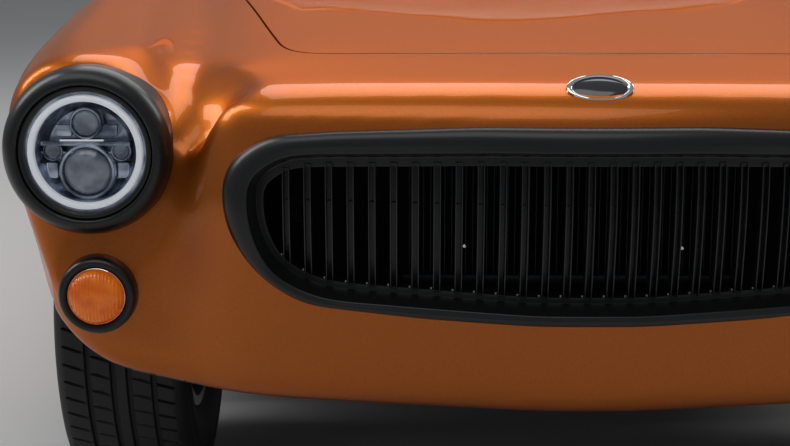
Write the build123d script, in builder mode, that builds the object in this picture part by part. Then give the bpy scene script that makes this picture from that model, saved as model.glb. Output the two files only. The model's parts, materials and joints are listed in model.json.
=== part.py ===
from build123d import *
from math import cos, radians, sin
import os

os.makedirs("parts", exist_ok=True)

# Whole car, in millimetres. A station s is measured backwards from the tip of the nose.
middle = 2141
wheelbase = 2450
front_axle = 700
rear_axle = front_axle + wheelbase
half_track = 668
tyre_radius = 313
tyre_width = 200
rim_radius = 190
arch_radius = 352
well_wall_x = 385
rear_well_x = 530
kingpin_x = 620

# Gaps round everything that opens or turns.
lid_gap = 7
door_gap = 6
glass_gap = 9
wall = 15
buffer_gap = 0.3

# Front lamps and the grille.
lamp_x = 652
lamp_z = 645.5
lamp_hole_radius = 112
lamp_seat = 250
lamp_lip = 128
lamp_ring = 25
signal_x = 642
signal_z = 455
signal_hole_radius = 52
signal_seat = 190
signal_tip = 105
ring_proud = 10
rib_pitch = 27.6
rib_width = 6
rib_count = 29
rib_depth = 30
rib_setback = 28
mouth_depth = 150

# Panels.
bonnet_front = 284
bonnet_rear = 1405
bonnet_thick = 25
door_front = 1490
door_rear = 2600
door_taper = 28
door_bottom = 236
post_x = 700
post_rear = 1624
boot_front = 3500
boot_rear = 4165
boot_half = 545
floor_z = 195
floor_thick = 20
firewall_front = 1412
shell_thick = 30
glass_outer = 3
glass_inner = 9


def at(s):
    return s - middle


# Upper side of the car: inner edge, crest, shoulder, widest line and lower edge, with their radii.
side_rows = [
    # s,   x_in, z_in, x_cr, z_cr, r, x_sh, z_sh, r, x_w, z_w, r, x_low, z_low, r
    (158, 534, 640, 548, 757, 72, 758, 768, 82, 763, 640, 140, 686, 396, 60),
    (200, 534, 670, 552, 763, 68, 764, 773, 90, 774, 632, 200, 702, 382, 65),
    (264, 535, 700, 566, 769, 60, 768, 778, 95, 785, 618, 300, 716, 368, 70),
    (364, 546, 735, 600, 774, 50, 772, 784, 88, 801, 606, 340, 748, 338, 75),
    (564, 568, 760, 635, 786, 50, 778, 800, 85, 822, 600, 350, 800, 250, 60),
    (764, 598, 778, 665, 800, 50, 785, 815, 80, 828, 600, 350, 815, 225, 60),
    (1100, 630, 800, 690, 815, 50, 792, 826, 75, 834, 595, 350, 815, 200, 60),
    (1480, 652, 822, 705, 828, 50, 796, 834, 70, 840, 590, 350, 810, 190, 60),
    (2100, 660, 838, 712, 842, 50, 800, 846, 65, 842, 592, 350, 808, 185, 60),
    (2640, 660, 850, 712, 856, 50, 798, 862, 60, 840, 600, 350, 808, 190, 60),
    (3150, 650, 862, 700, 874, 45, 790, 880, 55, 832, 610, 350, 805, 215, 60),
    (3650, 630, 868, 680, 892, 35, 770, 896, 45, 808, 625, 350, 785, 260, 60),
    (4050, 600, 862, 655, 902, 25, 738, 905, 32, 768, 640, 300, 738, 300, 60),
    (4200, 588, 850, 645, 902, 22, 720, 905, 28, 742, 645, 250, 712, 330, 60),
    (4262, 588, 838, 650, 893, 20, 700, 895, 25, 716, 650, 200, 690, 352, 50),
]

# Nose across the car: top rear height, shoulder, face, lower edge and bottom, with their radii.
nose_rows = [
    # x,  z_rear, s_sh, z_sh, r, s_f, z_f, r, s_low, z_low, r, z_bot
    (0, 765, 45, 738, 60, 0, 600, 150, 64, 311, 45, 284),
    (200, 764, 55, 736, 60, 14, 600, 150, 76, 315, 45, 288),
    (400, 759, 84, 728, 60, 50, 595, 150, 102, 318, 45, 292),
    (480, 748, 122, 714, 60, 86, 590, 150, 122, 321, 45, 295),
    (535, 728, 190, 700, 60, 138, 570, 150, 136, 327, 45, 300),
    (590, 640, 190, 600, 45, 146, 520, 100, 142, 338, 42, 310),
    (650, 560, 172, 540, 25, 138, 480, 60, 150, 362, 38, 334),
    (690, 545, 180, 530, 22, 150, 475, 45, 166, 392, 32, 362),
    (715, 530, 205, 515, 20, 176, 470, 35, 190, 420, 22, 394),
]
nose_rear = 300
nose_split = 532
cross_rod_z = 588
lower_edge = 352

# Bonnet and scuttle: height on the centre line and where it dies into the wing.
crown_rows = [
    # s, z_centre, x_mid, x_valley, z_valley
    (270, 758, 400, 545, 738),
    (564, 790, 420, 575, 762),
    (764, 810, 430, 605, 778),
    (1100, 838, 440, 640, 800),
    (1480, 868, 450, 662, 822),
    (1560, 874, 450, 668, 825),
]

# Rear deck, the same way.
deck_rows = [
    (3040, 885, 430, 652, 858),
    (3240, 897, 430, 648, 862),
    (3500, 902, 430, 640, 866),
    (3800, 888, 420, 622, 866),
    (4050, 866, 410, 602, 860),
    (4200, 846, 400, 590, 846),
]

# Cabin above the belt: foot, shoulder and crown of the roof.
cabin_rows = [
    # s, x_foot, x_sh, z_sh, z_top, r
    (1420, 600, 480, 838, 860, 40),
    (1500, 676, 606, 872, 925, 50),
    (1580, 704, 650, 918, 988, 55),
    (1680, 712, 631, 990, 1062, 62),
    (1780, 714, 607, 1062, 1132, 70),
    (1880, 715, 583, 1132, 1196, 75),
    (1980, 716, 563, 1188, 1245, 78),
    (2120, 716, 556, 1212, 1272, 80),
    (2320, 716, 553, 1222, 1285, 80),
    (2560, 714, 551, 1214, 1276, 80),
    (2800, 706, 556, 1178, 1238, 78),
    (3000, 694, 560, 1122, 1178, 75),
    (3180, 680, 572, 1040, 1092, 65),
    (3330, 655, 575, 955, 1002, 55),
    (3450, 620, 560, 885, 925, 40),
]
cabin_foot = 760

bonnet_outline = [
    (300, bonnet_front + 1, 0),
    (400, bonnet_front + 18, 55),
    (541, 917, 0),
    (585, 1150, 0),
    (585, bonnet_rear, 20),
]
mouth_outline = [
    (140, 694.5, 900),
    (320, 686.3, 600),
    (411, 678, 112),
    (466.6, 636.3, 65),
    (466.6, 565.5, 128),
    (428.5, 500.7, 150),
    (367.9, 461.3, 125),
    (212, 448, 900),
    (70, 441, 700),
]
mouth_opening = [
    (120, 666.5, 900),
    (340, 660.5, 400),
    (391, 657.3, 96),
    (434.8, 624.3, 47),
    (434.8, 558.6, 150),
    (405.6, 500.1, 75),
    (345.4, 469.5, 170),
    (70, 455.2, 700),
]
side_window = [
    (1604, 700),
    (1604, 845),
    (1985, 1192),
    (2250, 1212),
    (2600, 1196),
    (2770, 1150),
    (2950, 975),
    (2890, 700),
]
door_window = [(1626, 800), (1626, 846), (1996, 1183), (2250, 1202), (2576, 1187), (2576, 800)]
screen_outline = [(470, 1400), (612, 1545), (528, 1915), (300, 1945)]
rear_glass_outline = [(340, 2930), (500, 2960), (515, 3370), (400, 3450)]

# Tail: top edge, upper corner, face, lower corner and bottom of the panel between the wings.
tail_rows = [
    # x, z_front, s_up, z_up, r, s_f, z_f, r, s_low, z_low, r, z_bot
    (0, 856, 4236, 838, 22, 4254, 650, 400, 4206, 400, 45, 372),
    (300, 854, 4234, 837, 22, 4251, 650, 400, 4203, 400, 45, 373),
    (592, 848, 4228, 836, 22, 4240, 650, 400, 4190, 402, 45, 378),
]
tail_front = 4090
tail_wall = 45
plate_face = 4258
tail_lamp_box = (606, 690, 640, 800)
plate_x = 640
kick_up = 2780
boot_floor = 400
bulkhead = 3060

# Wheels and running gear.
stub_radius = 22
hub_bore = stub_radius + 0.1
bearing_gap = 0.1
rim_half = 85
disc_out = 20
disc_in = 36
arm_z = 200
subframe_top = 250
strut_x = 490
steering_x = 365
steering_s = 1935
steering_z = 800
steering_rake = 24
steering_radius = 190


def block(x0, x1, s0, s1, z0, z1, mode=Mode.ADD):
    with Locations(((x0 + x1) / 2, at((s0 + s1) / 2), (z0 + z1) / 2)):
        Box(x1 - x0, s1 - s0, z1 - z0, mode=mode)


def both_ways(points):
    return list(points) + [(-p[0],) + tuple(p[1:]) for p in reversed(points)]


def plan_prism(points, grow=0, z0=500, z1=1400, radius=0):
    with BuildPart() as prism:
        with BuildSketch(Plane.XY.offset(z0)):
            with BuildLine():
                FilletPolyline(
                    *[(p[0], at(p[1])) for p in points],
                    radius=[p[2] if len(p) > 2 else radius for p in points],
                    close=True,
                )
            make_face()
            if grow:
                offset(amount=grow)
        extrude(amount=z1 - z0)
    return prism.part


def front_prism(points, grow=0, s0=-50, s1=200):
    with BuildPart() as prism:
        with BuildSketch(Plane.XZ.offset(-at(s1))):
            with BuildLine():
                FilletPolyline(*[(p[0], p[1]) for p in points], radius=[p[2] for p in points], close=True)
            make_face()
            if grow:
                offset(amount=grow)
        extrude(amount=s1 - s0)
    return prism.part


def side_prism(points, x0, x1, grow=0):
    with BuildPart() as prism:
        with BuildSketch(Plane.YZ.offset(x0)):
            with BuildLine():
                Polyline(*[(at(s), z) for s, z in points], close=True)
            make_face()
            if grow:
                offset(amount=grow, kind=Kind.INTERSECTION)
        extrude(amount=x1 - x0)
    return prism.part


def rod_x(x0, x1, s, z, radius, mode=Mode.ADD):
    with Locations(Location(((x0 + x1) / 2, at(s), z), (0, 90, 0))):
        Cylinder(radius, x1 - x0, mode=mode)


def rod_y(x, s0, s1, z, radius, mode=Mode.ADD):
    with Locations(Location((x, at((s0 + s1) / 2), z), (90, 0, 0))):
        Cylinder(radius, s1 - s0, mode=mode)


def rod_z(x, s, z0, z1, radius, mode=Mode.ADD):
    with Locations((x, at(s), (z0 + z1) / 2)):
        Cylinder(radius, z1 - z0, mode=mode)


def mirrored(part):
    with BuildPart() as other:
        mirror(part, about=Plane.YZ)
    return other.part


def row_at(rows, key):
    # A smooth curve through every column of the table, so that a section can be taken anywhere.
    keys = [row[0] for row in rows]
    i = max(0, min(len(keys) - 2, sum(1 for k in keys if k <= key) - 1))
    before = rows[max(i - 1, 0)]
    low = rows[i]
    high = rows[i + 1]
    after = rows[min(i + 2, len(rows) - 1)]
    span = high[0] - low[0]
    t = (key - low[0]) / span
    values = []
    for a, b, c, d in zip(before[1:], low[1:], high[1:], after[1:]):
        slope_low = (c - a) / (high[0] - before[0]) * span
        slope_high = (d - b) / (after[0] - low[0]) * span
        values.append(
            b
            + t * slope_low
            + t * t * (3 * (c - b) - 2 * slope_low - slope_high)
            + t**3 * (slope_low + slope_high - 2 * (c - b))
        )
    return values


def stations(first, last, step):
    count = max(2, round((last - first) / step))
    return [first + (last - first) * i / count for i in range(count + 1)]


def side_piece(first, last):
    with BuildPart() as body:
        for s in stations(first, last, 110):
            xi, zi, xc, zc, rc, xs, zs, rs, xw, zw, rw, xl, zl, rl = row_at(side_rows, s)
            with BuildSketch(Plane.XZ.offset(-at(s))):
                with BuildLine():
                    FilletPolyline(
                        (xi, zi),
                        (xc, zc),
                        (xs, zs),
                        (xw, zw),
                        (xl, zl),
                        (xi, zl),
                        radius=[0, rc, rs, rw, rl, 0],
                        close=True,
                    )
                make_face()
        loft()
    return body.part


def nose_piece(first, last, grow=0):
    rows = [(-row[0],) + row[1:] for row in reversed(nose_rows[1:])] + nose_rows
    with BuildPart() as body:
        for x in stations(first, last, 60):
            zr, ss, zs, rs, sf, zf, rf, sl, zl, rl, zb = row_at(rows, x)
            with BuildSketch(Plane.YZ.offset(x)):
                with BuildLine():
                    FilletPolyline(
                        (at(nose_rear), zr),
                        (at(ss - grow), zs),
                        (at(sf - grow), zf),
                        (at(sl - grow), zl),
                        (at(nose_rear), zb),
                        radius=[0, rs, rf, rl, 0],
                        close=True,
                    )
                make_face()
        loft()
    return body.part


def crown_piece(rows, first, last, drop=0, spill=70, depth=600):
    with BuildPart() as body:
        for s in stations(first, last, 160):
            zc, xm, xv, zv = row_at(rows, s)
            with BuildSketch(Plane.XZ.offset(-at(s))):
                with BuildLine():
                    FilletPolyline(
                        (-xv - spill, zv - 20 - drop),
                        (-xm, zc - drop),
                        (xm, zc - drop),
                        (xv + spill, zv - 20 - drop),
                        (xv + spill, depth),
                        (-xv - spill, depth),
                        radius=[0, 900, 900, 0, 0, 0],
                        close=True,
                    )
                make_face()
        loft()
    return body.part


def cabin_body(inset=0):
    with BuildPart() as body:
        for s in stations(cabin_rows[0][0], cabin_rows[-1][0], 110):
            xf, xs, zs, zt, r = row_at(cabin_rows, s)
            with BuildSketch(Plane.XZ.offset(-at(s))):
                with BuildLine():
                    FilletPolyline(
                        (-xf, cabin_foot),
                        (-xs, zs),
                        (0, zt),
                        (xs, zs),
                        (xf, cabin_foot),
                        radius=[0, r, 1500, r, 0],
                        close=True,
                    )
                make_face()
                if inset:
                    offset(amount=-inset)
        loft()
    return body.part


def save(part, name):
    part.label = name
    export_step(part, f"parts/{name}.step")


def bonnet_piece(drop=0):
    return crown_piece(crown_rows, crown_rows[0][0], crown_rows[-1][0], drop)


crown = bonnet_piece()
with BuildPart() as bonnet_pocket:
    add(plan_prism(both_ways(bonnet_outline), lid_gap))
    add(bonnet_piece(bonnet_thick + 12), mode=Mode.SUBTRACT)


def front_wing():
    with BuildPart() as wing:
        add(crown)
        block(well_wall_x - wall, 900, 200, firewall_front, 0, 1200, mode=Mode.INTERSECT)
        block(well_wall_x - wall, 640, 200, front_axle, lower_edge, 640)
        block(well_wall_x - wall, 640, front_axle, firewall_front, 250, 640)
        add(bonnet_pocket.part, mode=Mode.SUBTRACT)
        add(side_piece(side_rows[0][0], door_front - door_gap))
        block(-600, nose_split, 0, nose_rear, 0, 1200, mode=Mode.SUBTRACT)
        add(nose_piece(nose_split, nose_rows[-1][0]))
        rod_x(well_wall_x, 1000, front_axle, tyre_radius, arch_radius, mode=Mode.SUBTRACT)
        rod_y(lamp_x, 0, lamp_seat, lamp_z, lamp_hole_radius, mode=Mode.SUBTRACT)
        rod_y(signal_x, 0, signal_seat, signal_z, signal_hole_radius, mode=Mode.SUBTRACT)
    return wing.part


def rests_under(lid_underside, x, s, radius):
    with BuildPart() as pads:
        for side in (-1, 1):
            rod_z(x * side, s, 690, 900, radius)
        add(lid_underside, mode=Mode.INTERSECT)
    return pads.part


def nose_panel():
    with BuildPart() as panel:
        add(nose_piece(-nose_split, nose_split))
        add(bonnet_pocket.part, mode=Mode.SUBTRACT)
        block(-500, 500, mouth_depth, nose_rear + 10, 400, 700, mode=Mode.SUBTRACT)
        add(front_prism(both_ways(mouth_outline), s1=mouth_depth + 5), mode=Mode.SUBTRACT)
        add(rests_under(bonnet_piece(bonnet_thick + buffer_gap), 250, bonnet_front + 18, 10))
    return panel.part


def grille_surround():
    with BuildPart() as ring:
        add(nose_piece(-nose_split, nose_split, ring_proud))
        add(front_prism(both_ways(mouth_outline), s1=mouth_depth), mode=Mode.INTERSECT)
        add(front_prism(both_ways(mouth_opening), s1=mouth_depth + 5), mode=Mode.SUBTRACT)
    return ring.part


def face_at(x, z):
    zr, ss, zs, rs, sf, zf, rf, sl, zl, rl, zb = row_at(nose_rows, abs(x))
    if z > zf:
        return sf + (ss - sf) * (z - zf) / (zs - zf)
    return sf + (sl - sf) * (zf - z) / (zf - zl)


def grille():
    with BuildPart() as bars:
        for i in range(rib_count):
            x = (i - (rib_count - 1) / 2) * rib_pitch
            with BuildSketch(Plane.YZ.offset(x - rib_width / 2)):
                with BuildLine():
                    front = [(at(face_at(x, z) + rib_setback), z) for z in (430, 600, 710)]
                    rear = [(y + rib_depth, z) for y, z in reversed(front)]
                    Polyline(*front, *rear, close=True)
                make_face()
            extrude(amount=rib_width)
        with BuildSketch(Plane.XY.offset(cross_rod_z)):
            with BuildLine():
                front = [(x, at(face_at(x, cross_rod_z) + rib_setback + 8)) for x in range(-450, 451, 90)]
                rear = [(x, y + 12) for x, y in reversed(front)]
                Polyline(*front, *rear, close=True)
            make_face()
        extrude(amount=8)
        add(front_prism(both_ways(mouth_opening), -1.5, s1=mouth_depth + 5), mode=Mode.INTERSECT)
        tab = face_at(440, cross_rod_z) + rib_setback + 8
        for x0, x1 in ((-460, -428), (428, 460)):
            block(x0, x1, tab, tab + 14, cross_rod_z, cross_rod_z + 8)
        add(surround, mode=Mode.SUBTRACT)
    return bars.part


def bonnet():
    with BuildPart() as lid:
        add(crown)
        add(plan_prism(both_ways(bonnet_outline)), mode=Mode.INTERSECT)
        add(bonnet_piece(bonnet_thick), mode=Mode.SUBTRACT)
    return lid.part


def scuttle():
    with BuildPart() as panel:
        add(crown)
        block(-640, 640, firewall_front, 1560, 780, 1200, mode=Mode.INTERSECT)
        block(-plate_x, plate_x, firewall_front, firewall_front + 20, floor_z + floor_thick, 780)
        block(-92, 92, firewall_front, firewall_front + 20, 0, 328, mode=Mode.SUBTRACT)
        for x0, x1 in ((-690, -640), (640, 690)):
            block(x0, x1, door_front, post_rear - door_gap, door_bottom, 790)
    return panel.part


def door():
    with BuildPart() as panel:
        add(side_piece(door_front, door_rear))
        block(600, 900, door_front, door_rear, 100, door_bottom, mode=Mode.SUBTRACT)
        block(600, post_x, door_front - 10, post_rear, 100, 1200, mode=Mode.SUBTRACT)
        behind = [(600, door_rear - door_taper - 7), (850, door_rear + 2), (850, 2800), (600, 2800)]
        add(plan_prism(behind, z0=100), mode=Mode.SUBTRACT)
    return panel.part


def rear_edge(x):
    # Where the door's rear edge lies at a distance x from the centre line.
    return door_rear - door_taper - 7 + (x - 600) * (door_taper + 9) / 250


def quarter():
    jamb = door_rear + glass_gap
    with BuildPart() as panel:
        add(side_piece(jamb - door_taper - 7, side_rows[-1][0]))
        add(
            plan_prism([(590, jamb - door_taper - 7), (850, jamb + 2), (850, 2400), (590, 2400)], z0=100),
            mode=Mode.SUBTRACT,
        )
        block(rear_well_x - wall, 660, 2780, 3560, 250, 700)
        latch = [(740, rear_edge(740) + 0.3), (785, rear_edge(785) + 0.3), (785, 2630), (740, 2630)]
        add(plan_prism(latch, z0=480, z1=560))
        rod_x(rear_well_x, 1000, rear_axle, tyre_radius, arch_radius, mode=Mode.SUBTRACT)
        spring_way = (rear_axle - 70, rear_axle + 70, 200, 380)
        block(rear_well_x - 50, rear_well_x + 10, *spring_way, mode=Mode.SUBTRACT)
    return panel.part


def sill():
    jamb = door_rear + glass_gap
    with BuildPart() as rail:
        add(side_piece(door_front - door_gap, door_rear))
        add(
            plan_prism([(590, jamb - door_taper - 7), (850, jamb + 2), (850, 2800), (590, 2800)], z0=100),
            mode=Mode.SUBTRACT,
        )
        block(600, 900, door_front - 20, door_rear + 20, door_bottom - door_gap, 1200, mode=Mode.SUBTRACT)
    return rail.part


def deck_piece(drop=0):
    return crown_piece(deck_rows, deck_rows[0][0], 4180, drop)


# The cabin above the belt.
windows = [
    side_prism(side_window, -900, 900),
    plan_prism(both_ways(screen_outline), z0=700),
    plan_prism(both_ways(rear_glass_outline), z0=700),
]


def cabin_shell(outer, inner):
    with BuildPart() as shell:
        add(cabin_body(outer))
        add(cabin_body(inner), mode=Mode.SUBTRACT)
        block(-900, 900, 1300, 3600, 700, cabin_foot + shell_thick + 2, mode=Mode.SUBTRACT)
    return shell.part


def roof(*rests):
    with BuildPart() as shell:
        add(cabin_shell(0, shell_thick))
        for window in windows:
            add(window, mode=Mode.SUBTRACT)
        for x0, x1 in ((-900, -post_x + door_gap), (post_x - door_gap, 900)):
            block(x0, x1, door_front - 10, door_rear + 10, 700, 880, mode=Mode.SUBTRACT)
        for rest in rests:
            add(rest, mode=Mode.SUBTRACT)
    return shell.part


def pane(region, *rests):
    with BuildPart() as glass:
        add(pane_stock)
        add(region, mode=Mode.INTERSECT)
        for rest in rests:
            add(rest, mode=Mode.SUBTRACT)
    return glass.part


def tail_piece():
    rows = [(-row[0],) + row[1:] for row in reversed(tail_rows[1:])] + tail_rows
    with BuildPart() as body:
        for x in stations(-plate_x + 48, plate_x - 48, 200):
            zt, su, zu, ru, sf, zf, rf, sl, zl, rl, zb = row_at(rows, x)
            with BuildSketch(Plane.YZ.offset(x)):
                with BuildLine():
                    FilletPolyline(
                        (at(tail_front), zt),
                        (at(su), zu),
                        (at(sf), zf),
                        (at(sl), zl),
                        (at(tail_front), zb),
                        radius=[0, ru, rf, rl, 0],
                        close=True,
                    )
                make_face()
        loft()
    return body.part


boot_outline = [(boot_half, boot_front, 30), (boot_half - 20, boot_rear, 40)]


with BuildPart() as boot_pocket:
    add(plan_prism(both_ways(boot_outline), lid_gap))
    add(deck_piece(bonnet_thick + 12), mode=Mode.SUBTRACT)


def tail_body(*rests):
    with BuildPart() as body:
        add(deck)
        block(-660, 660, bulkhead, 4185, boot_floor, 1000, mode=Mode.INTERSECT)
        add(tail_piece())
        add(boot_pocket.part, mode=Mode.SUBTRACT)
        block(-500, 500, bulkhead + 20, 4254 - tail_wall - 50, boot_floor + 10, 820, mode=Mode.SUBTRACT)
        block(-500, 500, boot_front, 4254 - tail_wall - 50, 700, 1000, mode=Mode.SUBTRACT)
        rod_x(-1000, 1000, rear_axle, tyre_radius, arch_radius, mode=Mode.SUBTRACT)
        for rest in rests:
            add(rest, mode=Mode.SUBTRACT)
        add(rests_under(deck_piece(bonnet_thick + buffer_gap), 300, boot_rear - 8, 8))
        block(-260, 260, 4200, plate_face, 480, 600)
        for x in (-90, 90):
            rod_y(x, plate_face - 25, plate_face + 5, 540, 3, mode=Mode.SUBTRACT)
    return body.part


def boot_lid():
    with BuildPart() as lid:
        add(deck)
        add(plan_prism(both_ways(boot_outline)), mode=Mode.INTERSECT)
        add(deck_piece(bonnet_thick), mode=Mode.SUBTRACT)
    return lid.part


def floor_pan():
    with BuildPart() as pan:
        block(-plate_x, plate_x, firewall_front + 20, kick_up, floor_z, floor_z + floor_thick)
        block(-110, 110, firewall_front + 20, kick_up, floor_z, 345)
        block(-92, 92, firewall_front, kick_up + 40, floor_z - 10, 328, mode=Mode.SUBTRACT)
        block(-500, 500, kick_up, kick_up + 20, 340, boot_floor)
        block(-500, 500, kick_up - 20, kick_up, floor_z, boot_floor)
        block(-92, 92, kick_up - 30, kick_up + 40, floor_z - 10, 328, mode=Mode.SUBTRACT)
        block(-500, 500, kick_up, tail_front, boot_floor - 20, boot_floor)
        for x0, x1 in ((-740, -plate_x + 20), (plate_x - 20, 740)):
            block(x0, x1, door_front - door_gap, door_rear - 60, floor_z - 8, door_bottom - door_gap)
        add(sill())
        add(mirrored(sill()))
    return pan.part


def ring(points, x, s, z, axis):
    # Turns a list of (radius, position along the axis) about an axis through x, s, z.
    if axis == "x":
        place = Plane(origin=(x, at(s), z), x_dir=(0, 0, 1), z_dir=(0, 1, 0))
        turn = Axis((x, at(s), z), (1, 0, 0))
        flat = [(r, a) for r, a in points]
    else:
        place = Plane(origin=(x, at(s), z), x_dir=(0, 0, 1), z_dir=(1, 0, 0))
        turn = Axis((x, at(s), z), (0, 1, 0))
        flat = [(r, -a) for r, a in points]
    with BuildPart() as body:
        with BuildSketch(place):
            with BuildLine():
                Polyline(*flat, close=True)
            make_face()
        revolve(axis=turn)
    return body.part


def wheel_station(side, rear):
    return (half_track * side, rear_axle if rear else front_axle)


def tyre(side, rear):
    x, s = wheel_station(side, rear)
    half = tyre_width / 2
    r = tyre_radius
    points = [
        (rim_radius, -rim_half),
        (rim_radius + 22, -half + 6),
        (rim_radius + 62, -half),
        (r - 34, -half + 3),
        (r - 12, -half + 14),
        (r - 3, -half + 30),
        (r, -half + 48),
    ]
    points = points + [(a, -b) for a, b in reversed(points)]
    return ring(points, x, s, tyre_radius, "x")


def rim(side, rear):
    x, s = wheel_station(side, rear)
    inner = [(rim_radius, -rim_half), (rim_radius, rim_half), (rim_radius - 10, rim_half)]
    inner = inner + [(rim_radius - 14, disc_in)]
    centre = [(70, disc_in + 12), (hub_bore, disc_in + 12), (hub_bore, -8), (64, -8), (70, disc_out)]
    barrel = [(rim_radius - 14, disc_out), (rim_radius - 16, -rim_half)]
    points = [(r, a * side) for r, a in inner + centre + barrel]
    with BuildPart() as body:
        add(ring(points, x, s, tyre_radius, "x"))
        with Locations(Location((x + side * 28, at(s), tyre_radius), (0, 90, 0))):
            with PolarLocations(120, 10):
                Cylinder(19, 60, mode=Mode.SUBTRACT)
    return body.part


def knuckle(side):
    with BuildPart() as body:
        rod_z(kingpin_x * side, front_axle, arm_z + 12 + bearing_gap, 431 - bearing_gap, 20)
        ends = sorted((kingpin_x * side, (half_track + 42) * side))
        rod_x(*ends, front_axle, tyre_radius, stub_radius)
    return body.part


def front_subframe():
    with BuildPart() as frame:
        block(-well_wall_x + wall, well_wall_x - wall, 640, 760, 180, subframe_top)
        block(-well_wall_x, well_wall_x, 660, 740, 180, subframe_top - 2)
        for side in (-1, 1):
            ends = sorted((380 * side, (kingpin_x + 16) * side))
            block(*ends, front_axle - 22, front_axle + 22, arm_z - 12, arm_z + 12)
            rod_z(strut_x * side, front_axle, arm_z, 655, 28)
            ends = sorted((strut_x * side, (kingpin_x + 12) * side))
            block(*ends, front_axle - 16, front_axle + 16, 431, 451)
    return frame.part


def rear_suspension():
    with BuildPart() as axle:
        rod_x(-560, 560, rear_axle, tyre_radius, 38)
        rod_x(-half_track - 42, half_track + 42, rear_axle, tyre_radius, stub_radius)
        rod_y(0, rear_axle - 150, rear_axle + 110, 290, 80)
        rod_y(0, firewall_front + 40, rear_axle, 275, 32)
        for x in (-440, 440):
            block(x - 20, x + 20, kick_up - 130, rear_axle + 20, 145, 185)
            block(x - 20, x + 20, kick_up - 130, kick_up - 90, 150, floor_z)
            block(x - 20, x + 20, rear_axle - 20, rear_axle + 20, 150, tyre_radius)
            rod_z(x, rear_axle + 10, tyre_radius, boot_floor - 20, 45)
    return axle.part


def exhaust():
    with BuildPart() as pipe:
        rod_y(-180, 1150, 3520, 165, 24)
        block(-330, -110, 3500, 4000, 140, 300)
        rod_y(-290, 3990, 4240, 235, 26)
        rod_y(-200, 3990, 4240, 235, 26)
        for x, s in ((-180, 1800), (-180, 2600)):
            block(x - 6, x + 6, s, s + 30, 180, floor_z)
        block(-226, -214, 3700, 3730, 290, boot_floor - 20)
    return pipe.part


def engine():
    with BuildPart() as motor:
        block(-190, 190, 470, 1090, subframe_top, 640)
        block(-120, 90, 500, 1060, 640, 700)
        block(-85, 85, 1090, firewall_front + 25, 205, 320)
    return motor.part


def radiator():
    with BuildPart() as cooler:
        block(-well_wall_x + wall, well_wall_x - wall, 345, 400, 330, 690)
    return cooler.part


def lamp_bezel():
    outer = lamp_hole_radius
    points = [
        (outer, lamp_seat),
        (outer, lamp_lip + 24),
        (outer - 2, lamp_lip + 14),
        (outer - 7, lamp_lip + 6),
        (outer - 14, lamp_lip + 1),
        (outer - 19, lamp_lip),
        (outer - 22, lamp_lip + 3),
        (outer - lamp_ring, lamp_lip + 22),
        (outer - lamp_ring, lamp_seat),
    ]
    return ring([(r, s - lamp_lip) for r, s in points], lamp_x, lamp_lip, lamp_z, "y")


def headlamp():
    outer = lamp_hole_radius - lamp_ring
    points = [
        (0, lamp_seat),
        (outer, lamp_seat),
        (outer, lamp_lip + 14),
        (outer - 12, lamp_lip + 8),
        (outer - 36, lamp_lip + 2),
        (0, lamp_lip - 2),
    ]
    return ring([(r, s - lamp_lip) for r, s in points], lamp_x, lamp_lip, lamp_z, "y")


def signal_ring():
    outer = signal_hole_radius
    points = [
        (outer, signal_seat),
        (outer, signal_tip + 24),
        (outer - 4, signal_tip + 17),
        (outer - 11, signal_tip + 15),
        (outer - 13, signal_tip + 30),
        (outer - 13, signal_seat),
    ]
    return ring([(r, s - signal_tip) for r, s in points], signal_x, signal_tip, signal_z, "y")


def signal_lens():
    outer = signal_hole_radius - 13
    points = [
        (0, signal_seat),
        (outer, signal_seat),
        (outer, signal_tip + 9),
        (outer - 6, signal_tip + 2),
        (0, signal_tip),
    ]
    return ring([(r, s - signal_tip) for r, s in points], signal_x, signal_tip, signal_z, "y")


def tail_lamp():
    x0, x1, z0, z1 = tail_lamp_box
    with BuildPart() as lamp:
        block(x0, x1, side_rows[-1][0] - 40, side_rows[-1][0] + 10, z0, z1)
        fillet(lamp.edges().filter_by(Axis.Y), 12)
    return lamp.part


def dashboard():
    with BuildPart() as dash:
        with BuildSketch(Plane.YZ.offset(-615)):
            with BuildLine():
                FilletPolyline(
                    (at(firewall_front + 20), 700),
                    (at(1566), 770),
                    (at(1600), 822),
                    (at(1710), 830),
                    (at(1752), 800),
                    (at(1735), 690),
                    (at(1640), 620),
                    (at(firewall_front + 20), 600),
                    radius=[0, 10, 15, 25, 18, 40, 30, 0],
                    close=True,
                )
            make_face()
        extrude(amount=1230)
        add(column_line(1690, 15 + bearing_gap, 26))
    return dash.part


def column_line(start, short, radius):
    # From the dashboard up to just under the wheel's hub.
    rake = radians(steering_rake)
    run = (steering_s - start) / cos(rake) - short
    back = run / 2 + short
    centre = (steering_x, at(steering_s) - back * cos(rake), steering_z - back * sin(rake))
    with BuildPart() as column:
        with Locations(Location(centre, (-90 + steering_rake, 0, 0))):
            Cylinder(radius, run)
    return column.part


def steering_wheel():
    tilt = Location((steering_x, at(steering_s), steering_z), (-90 + steering_rake, 0, 0))
    with BuildPart() as wheel:
        with Locations(tilt):
            Torus(steering_radius, 12)
            Cylinder(34, 30)
            for turn in (0, 120, 240):
                with Locations(Location((0, 0, 0), (0, 0, turn))):
                    with Locations((0, -steering_radius / 2, 0)):
                        Box(26, steering_radius, 5)
    return wheel.part


def seat(x):
    with BuildPart() as chair:
        with BuildSketch(Plane.YZ.offset(x - 250)):
            with BuildLine():
                FilletPolyline(
                    (at(1990), 400),
                    (at(2000), 480),
                    (at(2440), 455),
                    (at(2590), 980),
                    (at(2680), 960),
                    (at(2560), 390),
                    radius=[30, 40, 60, 40, 40, 60],
                    close=True,
                )
            make_face()
        extrude(amount=500)
        block(x - 200, x + 200, 2060, 2460, floor_z + floor_thick, 410)
    return chair.part


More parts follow.
